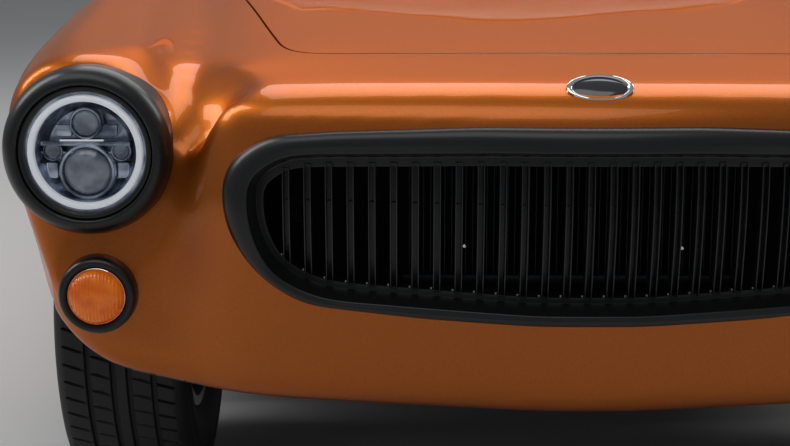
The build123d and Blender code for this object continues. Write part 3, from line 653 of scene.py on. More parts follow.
def frontShell(look):
    bm = bmesh.new()
    for n in ("wing_left", "wing_right", "nose_panel"):
        joinInto(bm, mergedCopy(n))
    for v in bm.verts:
        if v.co.y > at(1483):
            v.co.y += 0.03
    joinInto(bm, mergedCopy("bonnet"))
    joinInto(bm, mouthPlug(look))
    lampX, lampZ, lampR = look["lamp"]
    signalX, signalZ, signalR = look["signal"]
    for side in (-1, 1):
        joinInto(bm, rod("Y", (lampX * side, at(208), lampZ), lampR + 0.002, 0.1))
        joinInto(bm, rod("Y", (signalX * side, at(168), signalZ), signalR + 0.002, 0.05))

    def weight(x, s, z):
        if z < 430 or s > 1200 or s < 60:
            return 0
        d = abs(x - lineAt(look["valleyLine"], s)) / look["valleyWidth"]
        if d >= 1:
            return 0
        return (1 - d * d) ** 2 * min(1, (z - 430) / 80) * min(1, (1200 - s) / 300)

    def weightHere(x, s, z):
        reach, ramp, back = look["lampBlend"]
        d = sqrt((x / 1000 - lampX) ** 2 + (z / 1000 - lampZ) ** 2)
        near = min(1, max(0, (reach - d) / ramp)) * min(1, max(0, (back - s) / 80))
        roll = 0.8 * min(1, max(0, (z - 705) / 25)) * min(1, max(0, (260 - s) / 60)) if x < 520 else 0
        lid = 0.5 * min(1, max(0, (s - 240) / 60)) * min(1, max(0, (1380 - s) / 60)) if x < 560 and z > 715 else 0
        return max(weight(x, s, z), near, roll, lid)

    def limit(x, s, z):
        if z < 560 or s < 140 or s > 700:
            return z
        d = x - lineAt(look["valleyLine"], s)
        if abs(d) > 60:
            return z
        rise = abs(d) * (1.15 if d > 0 else 0.42)
        return lineAt(look["valleyFloor"], s) + rise

    shell = softShell("frontShell", bm, look, weightHere, limit)
    half = np.array([(x / 1000, at(s)) for x, s in look["lidPlan"]])
    plan = np.vstack([half, (half * (-1, 1))[-2:0:-1]])
    lidRing, lidInward = evenLoop(plan, 400)
    bonnetLid(shell, lidRing, look)
    hole = prismOver(lidRing - lidInward * look["lidGap"], "XY", 0.69, 1.0)
    holes = bmesh.new()
    for side in (-1, 1):
        joinInto(holes, rod("Y", (lampX * side, at(120), lampZ), lampR + 0.0005, 0.26))
        joinInto(holes, rod("Y", (signalX * side, at(90), signalZ), signalR + 0.0005, 0.2))
        joinInto(holes, rod("X", (0.6925 * side, at(700), 0.313), look["arch"], 0.615, 160))
    behind = boxShape((0, at(1484) + 0.1, 0.6), (2, 0.2, 1.2))
    cutWith(
        shell,
        [
            looseObject("lidHole", hole),
            looseObject("holes", holes),
            looseObject("mouthCutter", prismOver(mouthRing(0, 0.6), "XZ", -2.4, at(154))),
            looseObject("behind", behind),
        ],
    )
    skin = treeOf(shell)
    looks = [Vector((sin(a) * 0.8, cos(a) * 0.8, 0.6)) for a in (0.3, 1.55, 2.8, 4.1, 5.35)] + [Vector((0, 0, 1))]

    # no test ray gets out of an enclosed face, so it lies in shade; giving it the near-black is painted shade
    def isEnclosed(c, n):
        turn = n.to_track_quat("Z", "Y")
        start = c + n * 0.0005
        return all(skin.ray_cast(start, turn @ way, 1.5)[0] for way in looks)

    def inHole(c, n, x0, z0, r, back):
        dx, dz = abs(c.x) - x0, c.z - z0
        d = sqrt(dx * dx + dz * dz)
        towardsAxis = -(n.x * copysign(1, c.x) * dx + n.z * dz) / max(d, 1e-6)
        return c.y < at(back) and (d < r - 0.004 or (d < r + 0.0025 and towardsAxis > 0.6))

    # near-black faces: real underseal in the arches and underneath; the same near-black inside the engine bay, the lamp
    # bores and the mouth; painted shade on enclosed faces
    def isDarkInner(c, n):
        s = (c.y - noseY) * 1000
        x = abs(c.x)
        arch = sqrt((c.y - at(700)) ** 2 + (c.z - 0.313) ** 2)
        if arch < look["arch"] + 0.002 and 0.38 < x < 0.835:
            return True
        if x < 0.386 and s > 310 and c.z < 0.745:
            return True
        if c.z < 0.36 and n.z < -0.8 and s > 150:
            return True
        if inHole(c, n, lampX, lampZ, lampR, 262) or inHole(c, n, signalX, signalZ, signalR, 202):
            return True
        if x < 0.5 and 0.39 < c.z < 0.71 and s < 400:
            if isInside((c.x, c.z), loop + inward * 0.0003):
                return True
            if c.y > noseFace(c.x, c.z) + 0.014 and isInside((c.x, c.z), loop - inward * 0.03):
                return True
        return isEnclosed(c, n)

    dressShell(shell, look, isDarkInner, ("wing_left", "wing_right", "nose_panel"))
    return shell


front = frontShell(frontSkin)
print("front shell done")


frontTree = treeOf(front)


def underPixel(px, py, tree):
    # where the sight line through a pixel of the 790 x 446 frame meets a piece
    focal = view["lens"] / 36 * 790
    ray = cameraTurn(view) @ Vector(((px - 395) / focal, (223 - py) / focal, -1))
    return tree.ray_cast(Vector(view["place"]), ray.normalized())[:2]


mouth = {
    # share of the band's width, millimetres further inwards, height behind the nose's face
    "profile": [
        (0, -0.6, 14), (0, -1.2, 1), (0, -0.8, -3.5), (0.02, 0, -6.8), (0.1, 0, -9.6), (0.22, 0, -11.6),
        (0.38, 0, -12.6), (0.56, 0, -12.4), (0.74, 0, -11.2), (0.9, 0, -9.6), (0.97, 0, -9.4), (1, 0.8, -8.4),
        (1, 1.8, -6.0), (1, 2.4, -2), (1, 3.4, 8), (1, 8.6, 31), (1, 9.6, 32.6), (1, 11, 33),
        (1, 18, 33), (1, 19.4, 33.4), (1, 20, 35), (1, 20.3, 60),
    ],
    "sag": 4,
    "barPitch": 0.0276,
    "barsEachSide": 14,
    "barWide": 0.0092,
    "barDeep": 0.026,
    "barWall": 0.0012,
    "barBack": 0.0295,
    "rowBehind": (-0.228, 0.2, 0.0092),
}


def mouthStep(look, share, extra):
    # beyond the lip the rings drop a little, because the grille behind it sits lower in the mouth
    drop = -inward[:, 1] * look["sag"] * min(1, max(0, extra) / 20)
    return loop + inward * (band * share + (extra + drop) / 1000)[:, None]


def surround(look):
    bm = bmesh.new()
    share, extra, h = look["profile"][0]
    row = [bm.verts.new((x, noseFace(x, z) + h / 1000, z)) for x, z in mouthStep(look, share, extra)]
    first = edges = [bm.edges.new((row[i - 1], row[i])) for i in range(len(row))]
    for share, extra, h in look["profile"][1:]:
        out = bmesh.ops.extrude_edge_only(bm, edges=edges)["geom"]
        fresh = {g for g in out if isinstance(g, bmesh.types.BMVert)}
        edges = [g for g in out if isinstance(g, bmesh.types.BMEdge)]
        step = {}
        for v in fresh:
            old = next(e.other_vert(v) for e in v.link_edges if e.other_vert(v) not in fresh)
            step[old] = v
        row = [step[v] for v in row]
        for v, (x, z) in zip(row, mouthStep(look, share, extra)):
            v.co = (x, noseFace(x, z) + h / 1000, z)
    bmesh.ops.bridge_loops(bm, edges=first + edges)
    bmesh.ops.recalc_face_normals(bm, faces=bm.faces)
    return newPiece("grilleSurround", bm, blackSatin, sharp=50, instead=("grille_surround",))


surround(mouth)
print("grille surround done")

slotRing = mouthStep(mouth, 1, 20)


def slotEnds(x):
    # the lowest and highest point of the opening inside the surround at a distance x from the middle
    ends = []
    for upper in (False, True):
        part = slotRing[(slotRing[:, 1] > mouthCentre[1]) == upper]
        part = part[np.argsort(part[:, 0])]
        ends.append(float(np.interp(x, part[:, 0], part[:, 1])))
    return ends


def grilleBars(look):
    bm = bmesh.new()
    wide, deep = look["barWide"], look["barDeep"]
    for i in range(-look["barsEachSide"], look["barsEachSide"] + 1):
        x = i * look["barPitch"]
        low, top = slotEnds(x)
        low -= 0.003
        top += 0.0055
        bar = bmesh.new()
        bmesh.ops.create_cube(bar, size=1, matrix=Matrix.Diagonal((wide, deep, top - low, 1)))
        bmesh.ops.delete(bar, geom=[f for f in bar.faces if f.normal.y < -0.9], context="FACES_ONLY")
        upright = [e for e in bar.edges if abs(e.verts[0].co.z - e.verts[1].co.z) > 0.01]
        bmesh.ops.subdivide_edges(bar, edges=upright, cuts=8, use_grid_fill=True)
        bmesh.ops.solidify(bar, geom=bar.faces[:], thickness=look["barWall"])
        for v in bar.verts:
            z = v.co.z + (top + low) / 2
            v.co = (x + v.co.x, noseFace(x, z) + look["barBack"] + deep / 2 + v.co.y, z)
        bmesh.ops.recalc_face_normals(bar, faces=bar.faces)
        joinInto(bm, bar)
    newPiece("grilleBars", bm, ribBlack, sharp=30, instead=("grille",))


def barSmalls(look):
    tabs = bmesh.new()
    rivets = bmesh.new()
    for i in range(-look["barsEachSide"], look["barsEachSide"] + 1):
        x = i * look["barPitch"]
        low = slotEnds(x - 0.007)[0]
        y = noseFace(x, low) + 0.033
        joinInto(tabs, boxShape((x - look["barWide"] / 2 - 0.0024, y + 0.003, low + 0.0012), (0.0034, 0.006, 0.003), 0.0008, 1))
        y = noseFace(x, 0.588) + look["barBack"]
        joinInto(rivets, rod("Y", (x, y + look["barDeep"] - 0.003, 0.588), 0.0026, 0.006, 16))
    # the tabs are a lighter metal than the black bars, so they show as the bright spot at the foot of each bar: a
    # painted highlight
    tabPaintedHighlight = shader("tabPaintedHighlight", (0.2, 0.2, 0.19), 0.35, 0.8)
    addBump(tabPaintedHighlight, 300, 0.1, 0.0002)
    newPiece("slotTabs", tabs, tabPaintedHighlight)
    newPiece("barRivets", rivets, ribBlack)
    screws = bmesh.new()
    for x, z in ((-0.1585, 0.5395), (0.1165, 0.5385)):
        y = noseFace(x, z) + look["barBack"] + 0.001
        head = [(0, -2), (1.6, -1.7), (2.5, -0.8), (2.7, 0.3), (2.7, 3), (0, 3)]
        joinInto(screws, lathe(head, (x, y, z), "Y", 20))
    newPiece("barScrews", screws, chrome)


def rowBehind(look):
    first, last, pitch = look["rowBehind"]
    finMetal = shader("coolerFins", (0.045, 0.05, 0.06), 0.38, 0.6)
    addBump(finMetal, 300, 0.1, 0.0003)
    bm = bmesh.new()
    for i in range(int((last - first) / pitch) + 1):
        x = first + i * pitch
        joinInto(bm, boxShape((x, at(135), 0.58), (0.0018, 0.012, 0.2), 0.0005, 1))
    for z in (0.478, 0.683):
        joinInto(bm, boxShape(((first + last) / 2, at(139), z), (last - first + 0.02, 0.02, 0.012), 0.002, 2))
    newPiece("coolerRow", bm, finMetal)


grilleBars(mouth)
barSmalls(mouth)
rowBehind(mouth)
print("grille bars done")


lampLook = {
    "centre": (0.652, 0.6455),
    "bezel": [
        (112.2, 249), (112.2, 156), (111.8, 150), (110.4, 144.4), (107.6, 138.4), (103.8, 133.2), (99.4, 129.4),
        (95, 127.4), (91.4, 127.2), (89.6, 128.6), (88.8, 132), (88.4, 140), (88.4, 249),
    ],
    "rim": [(88.4, 200), (88.4, 134), (87.6, 132), (85.6, 131), (83, 131.4), (80.6, 133.4), (79.4, 137), (79.4, 200)],
    "glass": [
        (0, 119.6), (20, 120), (40, 121.6), (60, 124.6), (74, 128.6), (80, 131.6), (81.6, 134),
        (81.6, 136), (80, 134), (74, 131), (60, 126.8), (40, 123.8), (20, 122.2), (0, 121.8),
    ],
    "halo": [(75.6, 136), (75, 133.4), (73, 132), (69.6, 132), (67.6, 133.4), (67, 136), (67, 142), (75.6, 142)],
    "bowl": [(79.4, 141), (66, 143), (62, 150), (54, 168), (0, 172), (0, 200), (79.4, 200)],
}


def lampUnit(look):
    housing = shader("lampHousing", (0.3, 0.34, 0.42), 0.2, 0.85, coat=0.4)
    # blotches from dark to light blue-grey on the reflector bowl and its fittings are painted reflection
    varyColour(housing, (0.16, 0.19, 0.26), (0.62, 0.68, 0.78), 35)
    lensGlass = shader("projectorLens", (0.32, 0.36, 0.44), 0.03, coat=1.0, transmission=0.6, ior=1.45)
    # blotches from dark to light on the projector lenses are painted reflection
    varyColour(lensGlass, (0.2, 0.24, 0.33), (0.8, 0.86, 0.95), 32)
    haloWhite = shader("haloWhite", (0.86, 0.88, 0.9), 0.3, coat=0.4)
    # painted light: a faint glow makes the unlit halo rings and LED strips look bright
    paintedGlow(haloWhite, (0.93, 0.96, 1.0), 0.28)
    addBump(haloWhite, 200, 0.05, 0.0002)
    x0, z0 = look["centre"]
    for side, end in ((1, "left"), (-1, "right")):
        place = (x0 * side, noseY, z0)
        bezel = lathe(look["bezel"], place, steps=128)
        newPiece(f"lampBezel_{end}", bezel, blackSatin, sharp=50, instead=(f"lamp_bezel_{end}",))
        newPiece(f"lampRim_{end}", lathe(look["rim"], place, steps=128), blackSatin, sharp=50)
        cover = lathe(look["glass"], place, steps=96)
        newPiece(f"lampCover_{end}", cover, lampGlass, instead=(f"headlamp_{end}",))
        newPiece(f"lampHalo_{end}", lathe(look["halo"], place, steps=128), haloWhite)
        newPiece(f"lampBowl_{end}", lathe(look["bowl"], place, steps=96), housing)
        lenses = bmesh.new()
        metal = bmesh.new()
        for dx, dz, r, front in ((0, -27, 34, 138), (0, 37, 19, 142), (-45, 0, 12, 146), (45, 0, 12, 146)):
            centre = (x0 * side + dx / 1000, noseY, z0 + dz / 1000)
            dome = [(0, 0), (0.35, 0.03), (0.65, 0.12), (0.88, 0.28), (0.94, 0.42), (0, 0.42)]
            joinInto(lenses, lathe([(r * a, front + r * b) for a, b in dome], centre, steps=64))
            ring = [(0.94, 0.3), (0.97, 0.2), (1.05, 0.18), (1.12, 0.3), (1.12, 0.9), (0.94, 0.9)]
            joinInto(metal, lathe([(r * a, front + r * b) for a, b in ring], centre, steps=64))
        joinInto(metal, boxShape((x0 * side - 0.002, at(158), z0 + 0.010), (0.118, 0.02, 0.006), 0.0015, 2))
        joinInto(metal, boxShape((x0 * side - 0.002, at(160), z0 - 0.002), (0.118, 0.02, 0.003), 0.001, 2))
        for tilt in (-1, 1):
            joinInto(metal, boxShape((x0 * side + 0.03 * tilt, at(160), z0 + 0.027), (0.022, 0.02, 0.016), 0.003, 2))
            joinInto(metal, boxShape((x0 * side + 0.047 * tilt, at(160), z0 - 0.026), (0.016, 0.02, 0.022), 0.003, 2))
        newPiece(f"lampLenses_{end}", lenses, lensGlass)
        newPiece(f"lampMetal_{end}", metal, housing, sharp=40)
        led = boxShape((x0 * side - 0.006, at(147.5), z0 + 0.0145), (0.058, 0.003, 0.0022), 0.0008, 2)
        newPiece(f"lampStrip_{end}", led, haloWhite)


lampUnit(lampLook)
print("headlamps done")


signalLook = {
    "centre": (0.642, 0.455),
    "ring": [
        (52.3, 180), (52.3, 133), (51.6, 127), (49.6, 122.6), (46.6, 120.2),
        (43.4, 120), (41, 121.6), (40, 125), (39.8, 132), (39.8, 180),
    ],
    "bead": [(39.8, 150), (39.8, 125), (39.2, 122.6), (37.8, 121.8), (36.6, 122.8), (36.4, 126), (36.4, 150)],
    "lens": [(0, 103), (9, 103.3), (18, 104.6), (26, 107), (31.5, 110.8), (35, 116), (36.3, 122), (36.3, 150), (0, 150)],
    "flutePitch": 0.0046,
    "fluteDeep": 0.0007,
}


def signalUnit(look):
    x0, z0 = look["centre"]
    for side, end in ((1, "left"), (-1, "right")):
        place = (x0 * side, noseY, z0)
        ring = lathe(look["ring"], place, steps=96)
        newPiece(f"signalRing_{end}", ring, blackSatin, sharp=50, instead=(f"signal_ring_{end}",))
        newPiece(f"signalBead_{end}", lathe(look["bead"], place, steps=96), chrome, sharp=50)
        lens = lathe(look["lens"], place, steps=96)
        bmesh.ops.subdivide_edges(lens, edges=lens.edges[:], cuts=3, use_grid_fill=True, smooth=0)
        for v in lens.verts:
            if v.co.y < at(121):
                v.co.y += look["fluteDeep"] * cos(2 * pi * (v.co.x - place[0]) / look["flutePitch"])
        newPiece(f"signalLens_{end}", lens, amber, sharp=70, instead=(f"signal_lens_{end}",))


signalUnit(signalLook)
print("indicators done")

badge = {"pixel": (600, 90), "wide": 0.043, "high": 0.022, "thick": 0.006, "lean": 0.5, "sunk": 0.004}


def noseBadge(b):
    # a plain blank oval of bright metal, laid on the nose
    place, up = underPixel(*b["pixel"], frontTree)
    up = (up + Vector((0, -b["lean"], 0))).normalized()
    turn = up.to_track_quat("Z", "Y").to_matrix().to_4x4()
    seat = Matrix.Translation(place - up * b["sunk"]) @ turn
    shape = Matrix.Diagonal((b["wide"], b["high"], 1, 1))
    rimProfile = [(0, 0), (1, 0), (1, 0.6), (0.97, 0.92), (0.93, 1), (0.87, 1), (0.83, 0.9), (0.8, 0.62), (0, 0.62)]
    fieldProfile = [(0, 0.98), (0.3, 0.95), (0.6, 0.86), (0.79, 0.7), (0.79, 0.4), (0, 0.4)]
    enamel = shader("badgeEnamel", (0.03, 0.03, 0.034), 0.12, coat=0.8)
    addBump(enamel, 90, 0.02, 0.0002)
    for name, profile, material in (("badgeRim", rimProfile, chrome), ("badgeField", fieldProfile, enamel)):
        rows = [(r * 1000, h * (b["thick"] + b["sunk"]) * 1000) for r, h in profile]
        bm = lathe(rows, (0, 0, 0), "Z", 64)
        bmesh.ops.transform(bm, matrix=seat @ shape, verts=bm.verts)
        bmesh.ops.recalc_face_normals(bm, faces=bm.faces)
        newPiece(name, bm, material, sharp=40)


noseBadge(badge)
print("badge done")


tyre = {
    "centres": {"fl": (0.668, 700), "fr": (-0.668, 700), "rl": (0.668, 3150), "rr": (-0.668, 3150)},
    "height": 0.313,
    "grooves": (46, 8, -16, -53),
    "grooveHalf": 4.2,
    "grooveDeep": 7,
    "sipes": 68,
    "sipeDeep": 0.0055,
    "slant": 0.32,
    "wall": [(308.5, 84), (304, 91), (296, 96), (284, 99.2), (270, 99.6), (268, 98.4), (258, 98.8), (256, 99.8),
             (236, 98.6), (222, 96), (212, 91), (206, 86), (196, 84), (190, 78)],
}


def crownRadius(a):
    return 313 - 0.00042 * a * a - 0.0000000085 * a**4


def tyreRing(look):
    edges = []
    for g in look["grooves"]:
        h, deep = look["grooveHalf"], look["grooveDeep"]
        edges += [(g + h + 0.6, 0), (g + h, 1.2), (g + h * 0.7, deep), (g - h * 0.7, deep), (g - h, 1.2), (g - h - 0.6, 0)]
    for extra in (80, 70, 60, 34, 21, -34, -66, -76, -82):
        edges.append((extra, 0))
    tread = [(crownRadius(a) - d, a) for a, d in sorted(edges, reverse=True)]
    outer = look["wall"][::-1]
    inner = [(r, -a) for r, a in look["wall"]]
    rows = outer + tread + inner
    bm = lathe(rows, (0, 0, 0), "X", look["sipes"] * 4)
    part = 2 * pi / look["sipes"]
    places = (0, 0.1, 0.2, 0.6)
    low = crownRadius(84) / 1000 - 0.001
    for v in bm.verts:
        radius = sqrt(v.co.y ** 2 + v.co.z ** 2)
        angle = atan2(v.co.z, v.co.y)
        if radius < 0.30:
            continue
        column = round(angle / part * 4) % 4
        base = (round(angle / part * 4) - column) / 4 * part
        across = v.co.x * 1000
        lean = look["slant"] * (abs(across) - 20) / 1000 / radius * (1 if across > 0 else -1)
        turned = base + places[column] * part + lean
        surface = radius > (crownRadius(across) - 0.5) / 1000
        if column == 1 and surface and (abs(across) > 52 or 12 < across < 40 or -44 < across < -22):
            radius -= look["sipeDeep"] * min(1, (abs(across) - 8) / 20)
        v.co.y, v.co.z = radius * cos(turned), radius * sin(turned)
    bmesh.ops.recalc_face_normals(bm, faces=bm.faces)
    return bm


def fitWheels(look):
    pattern = bpy.data.meshes.new("tyrePattern")
    ring = tyreRing(look)
    ring.to_mesh(pattern)
    ring.free()
    for corner, (x, s) in look["centres"].items():
        outwards = copysign(1, x)
        place = Matrix.Translation((x, at(s), look["height"])) @ Matrix.Rotation(0 if x > 0 else pi, 4, "Z")
        bm = bmesh.new()
        bm.from_mesh(pattern)
        bmesh.ops.transform(bm, matrix=place, verts=bm.verts)
        body = f"wheel_{corner}"
        newPiece(f"tread_{corner}", bm, rubber, body=body, sharp=30, instead=(f"tyre_{corner}",))
        bright = bmesh.new()
        trim = [(190, 78), (193, 84), (191, 89), (186, 91), (181, 88), (178, 80), (178, 74), (186, 74)]
        cap = [(0, 78), (20, 77), (36, 73), (46, 66), (50, 58), (52, 50), (50, 46), (44, 46), (44, 44), (0, 44)]
        for profile in (trim, cap):
            part = lathe(profile, (0, 0, 0), "X", 72)
            bmesh.ops.transform(part, matrix=place, verts=part.verts)
            joinInto(bright, part)
        newPiece(f"wheelTrim_{corner}", bright, chrome, body=body, sharp=40)
    bpy.data.meshes.remove(pattern)


fitWheels(tyre)
print("tyres and wheel trims done")


def tubeAlong(name, points, radius, material, body="body", closed=True):
    curve = bpy.data.curves.new(name, "CURVE")
    curve.dimensions = "3D"
    curve.bevel_depth = radius
    curve.bevel_resolution = 2
    curve.use_fill_caps = True
    spline = curve.splines.new("POLY")
    spline.points.add(len(points) - 1)
    for target, p in zip(spline.points, points):
        target.co = (*p, 1)
    spline.use_cyclic_u = closed
    loose = bpy.data.objects.new(name, curve)
    bpy.context.scene.collection.objects.link(loose)
    graph = bpy.context.evaluated_depsgraph_get()
    graph.update()
    mesh = bpy.data.meshes.new_from_object(loose.evaluated_get(graph))
    bpy.data.objects.remove(loose)
    bm = bmesh.new()
    bm.from_mesh(mesh)
    bpy.data.meshes.remove(mesh)
    bmesh.ops.recalc_face_normals(bm, faces=bm.faces)
    return newPiece(name, bm, material, body=body, sharp=50)


def paneEdge(name):
    # the edge of a pane's outer face, in order, picked by its faces' normals
    bm = mergedCopy(name)
    middle = Vector((0, at(2300), 0.75))

    def facing(f):
        return f.normal.dot((f.calc_center_median() - middle).normalized())

    edges = set()
    for e in bm.edges:
        if len(e.link_faces) == 2 and e.calc_face_angle(0) > radians(50):
            if max(facing(f) for f in e.link_faces) > 0.55:
                edges.add(e)
    loops = []
    while edges:
        e = edges.pop()
        chain = [e.verts[0], e.verts[1]]
        while True:
            follow = next((n for n in chain[-1].link_edges if n in edges), None)
            if follow is None:
                break
            edges.discard(follow)
            chain.append(follow.other_vert(chain[-1]))
        loops.append([tuple(v.co) for v in chain])
    bm.free()
    best = max(loops, key=len)
    if (Vector(best[0]) - Vector(best[-1])).length < 1e-4:
        best = best[:-1]
    return best


trims = {
    "windscreen": "body",
    "rear_window": "body",
    "quarter_glass_left": "body",
    "quarter_glass_right": "body",
    "door_glass_left": "door_left",
    "door_glass_right": "door_right",
}
for pane, body in trims.items():
    ring = paneEdge(pane)
    centre = Vector(np.mean(np.array(ring), axis=0))
    tubeAlong(pane + "Seal", ring, 0.006, sealRubber, body)
    away = [tuple(Vector(p) + (Vector(p) - Vector((0, at(2300), 0.75))).normalized() * 0.005) for p in ring]
    tubeAlong(pane + "Bright", away, 0.0028, chrome, body)
print("window trims done")


def surfaceAt(tree, start, way):
    hit = tree.ray_cast(Vector(start), Vector(way).normalized())
    return hit[0], hit[1]


sideTrim = {"handle": (2500, 0.715), "lock": (2500, 0.685), "mirror": (1655, 0.86), "cap": (3560, 0.745)}


def doorFittings(look):
    for side, end in ((1, "left"), (-1, "right")):
        tree = treeOf(nodes[f"door_{end}"])
        s, z = look["handle"]
        feet = [surfaceAt(tree, (1.2 * side, at(s + d), z), (-side, 0, 0))[0] for d in (-62, 62)]
        bm = bmesh.new()
        for foot in feet:
            joinInto(bm, rod("X", (foot.x + 0.012 * side, foot.y, foot.z), 0.0085, 0.028, 24, 0.0105))
        mid = (feet[0] + feet[1]) / 2
        joinInto(bm, boxShape((mid.x + 0.027 * side, mid.y, mid.z), (0.012, 0.165, 0.019), 0.0055, 4))
        lockPlace = surfaceAt(tree, (1.2 * side, at(look["lock"][0] + 62), look["lock"][1]), (-side, 0, 0))[0]
        joinInto(bm, lathe([(0, 5), (6, 5), (8.5, 4), (9.5, 1.5), (9.5, -4), (0, -4)], lockPlace, "X", 32) if side > 0
                 else lathe([(0, -5), (6, -5), (8.5, -4), (9.5, -1.5), (9.5, 4), (0, 4)], lockPlace, "X", 32))
        newPiece(f"doorHandle_{end}", bm, chrome, body=f"door_{end}", sharp=40)
        s, z = look["mirror"]
        foot = surfaceAt(tree, (0.775 * side, at(s), 1.2), (0, 0, -1))[0]
        if foot is None:
            continue
        bm = bmesh.new()
        joinInto(bm, lathe([(0, 8), (9, 8), (15, 4), (19, -3), (0, -3)], foot, "Z", 32))
        joinInto(bm, rod("Z", (foot.x, foot.y, foot.z + 0.034), 0.0055, 0.066, 20))
        head = (foot.x, foot.y + 0.004, foot.z + 0.088)
        shellRows = [(0, -28), (18, -26), (34, -19), (44, -8), (47, 3), (47, 7), (45, 8), (43.5, 5), (0, 5)]
        joinInto(bm, lathe(shellRows, head, "Y", 48))
        newPiece(f"doorMirror_{end}", bm, chrome, body=f"door_{end}", sharp=45)


doorFittings(sideTrim)
print("door fittings done")


rear = {"plate": (0.40, 0.11, 0.53), "lampBox": (0.606, 0.690, 0.640, 0.800), "tips": (-0.290, -0.200)}


def rearFittings(look):
    wide, high, z = look["plate"]
    skin = treeOf(nodes["tail_body"])
    back = surfaceAt(skin, (0, at(4600), z), (0, -1, 0))[0].y
    plateWhite = shader("blankPlate", (0.7, 0.7, 0.68), 0.35, coat=0.3)
    addBump(plateWhite, 120, 0.05, 0.0003)
    plate = boxShape((0, back + 0.0045, z), (wide, 0.003, high), 0.0012, 2)
    newPiece("rearPlate", plate, plateWhite)
    frame = boxShape((0, back + 0.0012, z), (wide + 0.014, 0.005, high + 0.014), 0.002, 3)
    newPiece("plateFrame", frame, sealRubber)
    lidTree = treeOf(nodes["boot_lid"])
    foot = surfaceAt(lidTree, (0, at(4120), 1.4), (0, 0, -1))[0]
    bm = bmesh.new()
    joinInto(bm, boxShape((0, foot.y, foot.z + 0.012), (0.17, 0.018, 0.012), 0.005, 4))
    for x in (-0.06, 0.06):
        joinInto(bm, rod("Z", (x, foot.y, foot.z + 0.004), 0.008, 0.016, 24))
    newPiece("bootHandle", bm, chrome, body="boot_lid", sharp=40)
    for side, end in ((1, "left"), (-1, "right")):
        low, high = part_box(f"tail_lamp_{end}")
        mid = [(a + b) / 2 for a, b in zip(low, high)]
        wide, tall = high[0] - low[0], high[2] - low[2]
        bm = bmesh.new()
        for dx, dz, size in (
            (0, tall / 2, (wide + 0.008, 0.012, 0.006)),
            (0, -tall / 2, (wide + 0.008, 0.012, 0.006)),
            (wide / 2, 0, (0.006, 0.012, tall)),
            (-wide / 2, 0, (0.006, 0.012, tall)),
            (0, tall * 0.12, (wide, 0.008, 0.004)),
        ):
            joinInto(bm, boxShape((mid[0] + dx, high[1] - 0.002, mid[2] + dz), size, 0.0018, 3))
        newPiece(f"tailLampFrame_{end}", bm, chrome, sharp=40)
        lens = boxShape((mid[0], high[1] - 0.001, mid[2] + tall * 0.31), (wide - 0.008, 0.008, tall * 0.34), 0.002, 3)
        newPiece(f"tailAmber_{end}", lens, amber)
    for i, x in enumerate(look["tips"]):
        tip = lathe([(26.6, 100), (28.5, 101), (29, 104), (28.5, 107), (25.5, 107), (23, 104), (22.6, 60), (26.4, 60)], (x, at(4134), 0.235), "Y", 48)
        newPiece(f"exhaustTip{i}", tip, chrome, sharp=40)
    side = treeOf(nodes["quarter_right"])
    s, z = 3560, 0.79
    place, up = surfaceAt(side, (-1.2, at(s), z), (1, 0, 0))
    cap = lathe([(0, 13), (20, 12.4), (32, 10), (38, 5), (40, -4), (0, -4)], (0, 0, 0), "Z", 56)
    turn = up.to_track_quat("Z", "Y").to_matrix().to_4x4()
    bmesh.ops.transform(cap, matrix=Matrix.Translation(place) @ turn, verts=cap.verts)
    newPiece("fuelCap", cap, chrome, sharp=40)


rearFittings(rear)
print("rear fittings done")


def wiperPair():
    tree = treeOf(nodes["windscreen"])
    for i, (x0, x1) in enumerate(((-0.02, -0.36), (0.36, 0.02))):
        points = []
        for share in np.linspace(0, 1, 9):
            x, z = x0 + (x1 - x0) * share, 0.905 + 0.035 * share
            hit, up = surfaceAt(tree, (x, -2, z), (0, 1, 0))
            if hit is None:
                continue
            points.append(hit + up * 0.009)
        if len(points) < 4:
            print("wiper", i, "finds no glass")
            continue
        tubeAlong(f"wiperBlade{i}", [tuple(p) for p in points], 0.0035, sealRubber, closed=False)
        pivot = points[0] + Vector((0, -0.03, -0.035))
        arm = [pivot, pivot + Vector((0, -0.002, 0.014)), points[3] + Vector((0, -0.008, 0.004)), points[4] + Vector((0, -0.004, 0.001))]
        tubeAlong(f"wiperArm{i}", [tuple(p) for p in arm], 0.003, chrome, closed=False)


wiperPair()
print("wipers done")


cushions = {
    "voxel": 0.006,
    "pressure": 4.0,
    "cap": 0.014,
    "frames": 20,
    "seatX": 0.365,
    "parts": {
        # name: centre (distance from the seat's middle, station, height), size, lean in degrees, sewn channels
        "Cushion": ((0, 2235, 446), (0.46, 0.44, 0.075), 3, 5),
        "Back": ((0, 2562, 715), (0.44, 0.075, 0.50), -15.5, 5),
    },
    "bench": {
        "Cushion": ((0, 2802, 438), (0.92, 0.17, 0.06), 6, 9),
        "Back": ((0, 3002, 655), (0.92, 0.045, 0.36), -14, 9),
    },
}


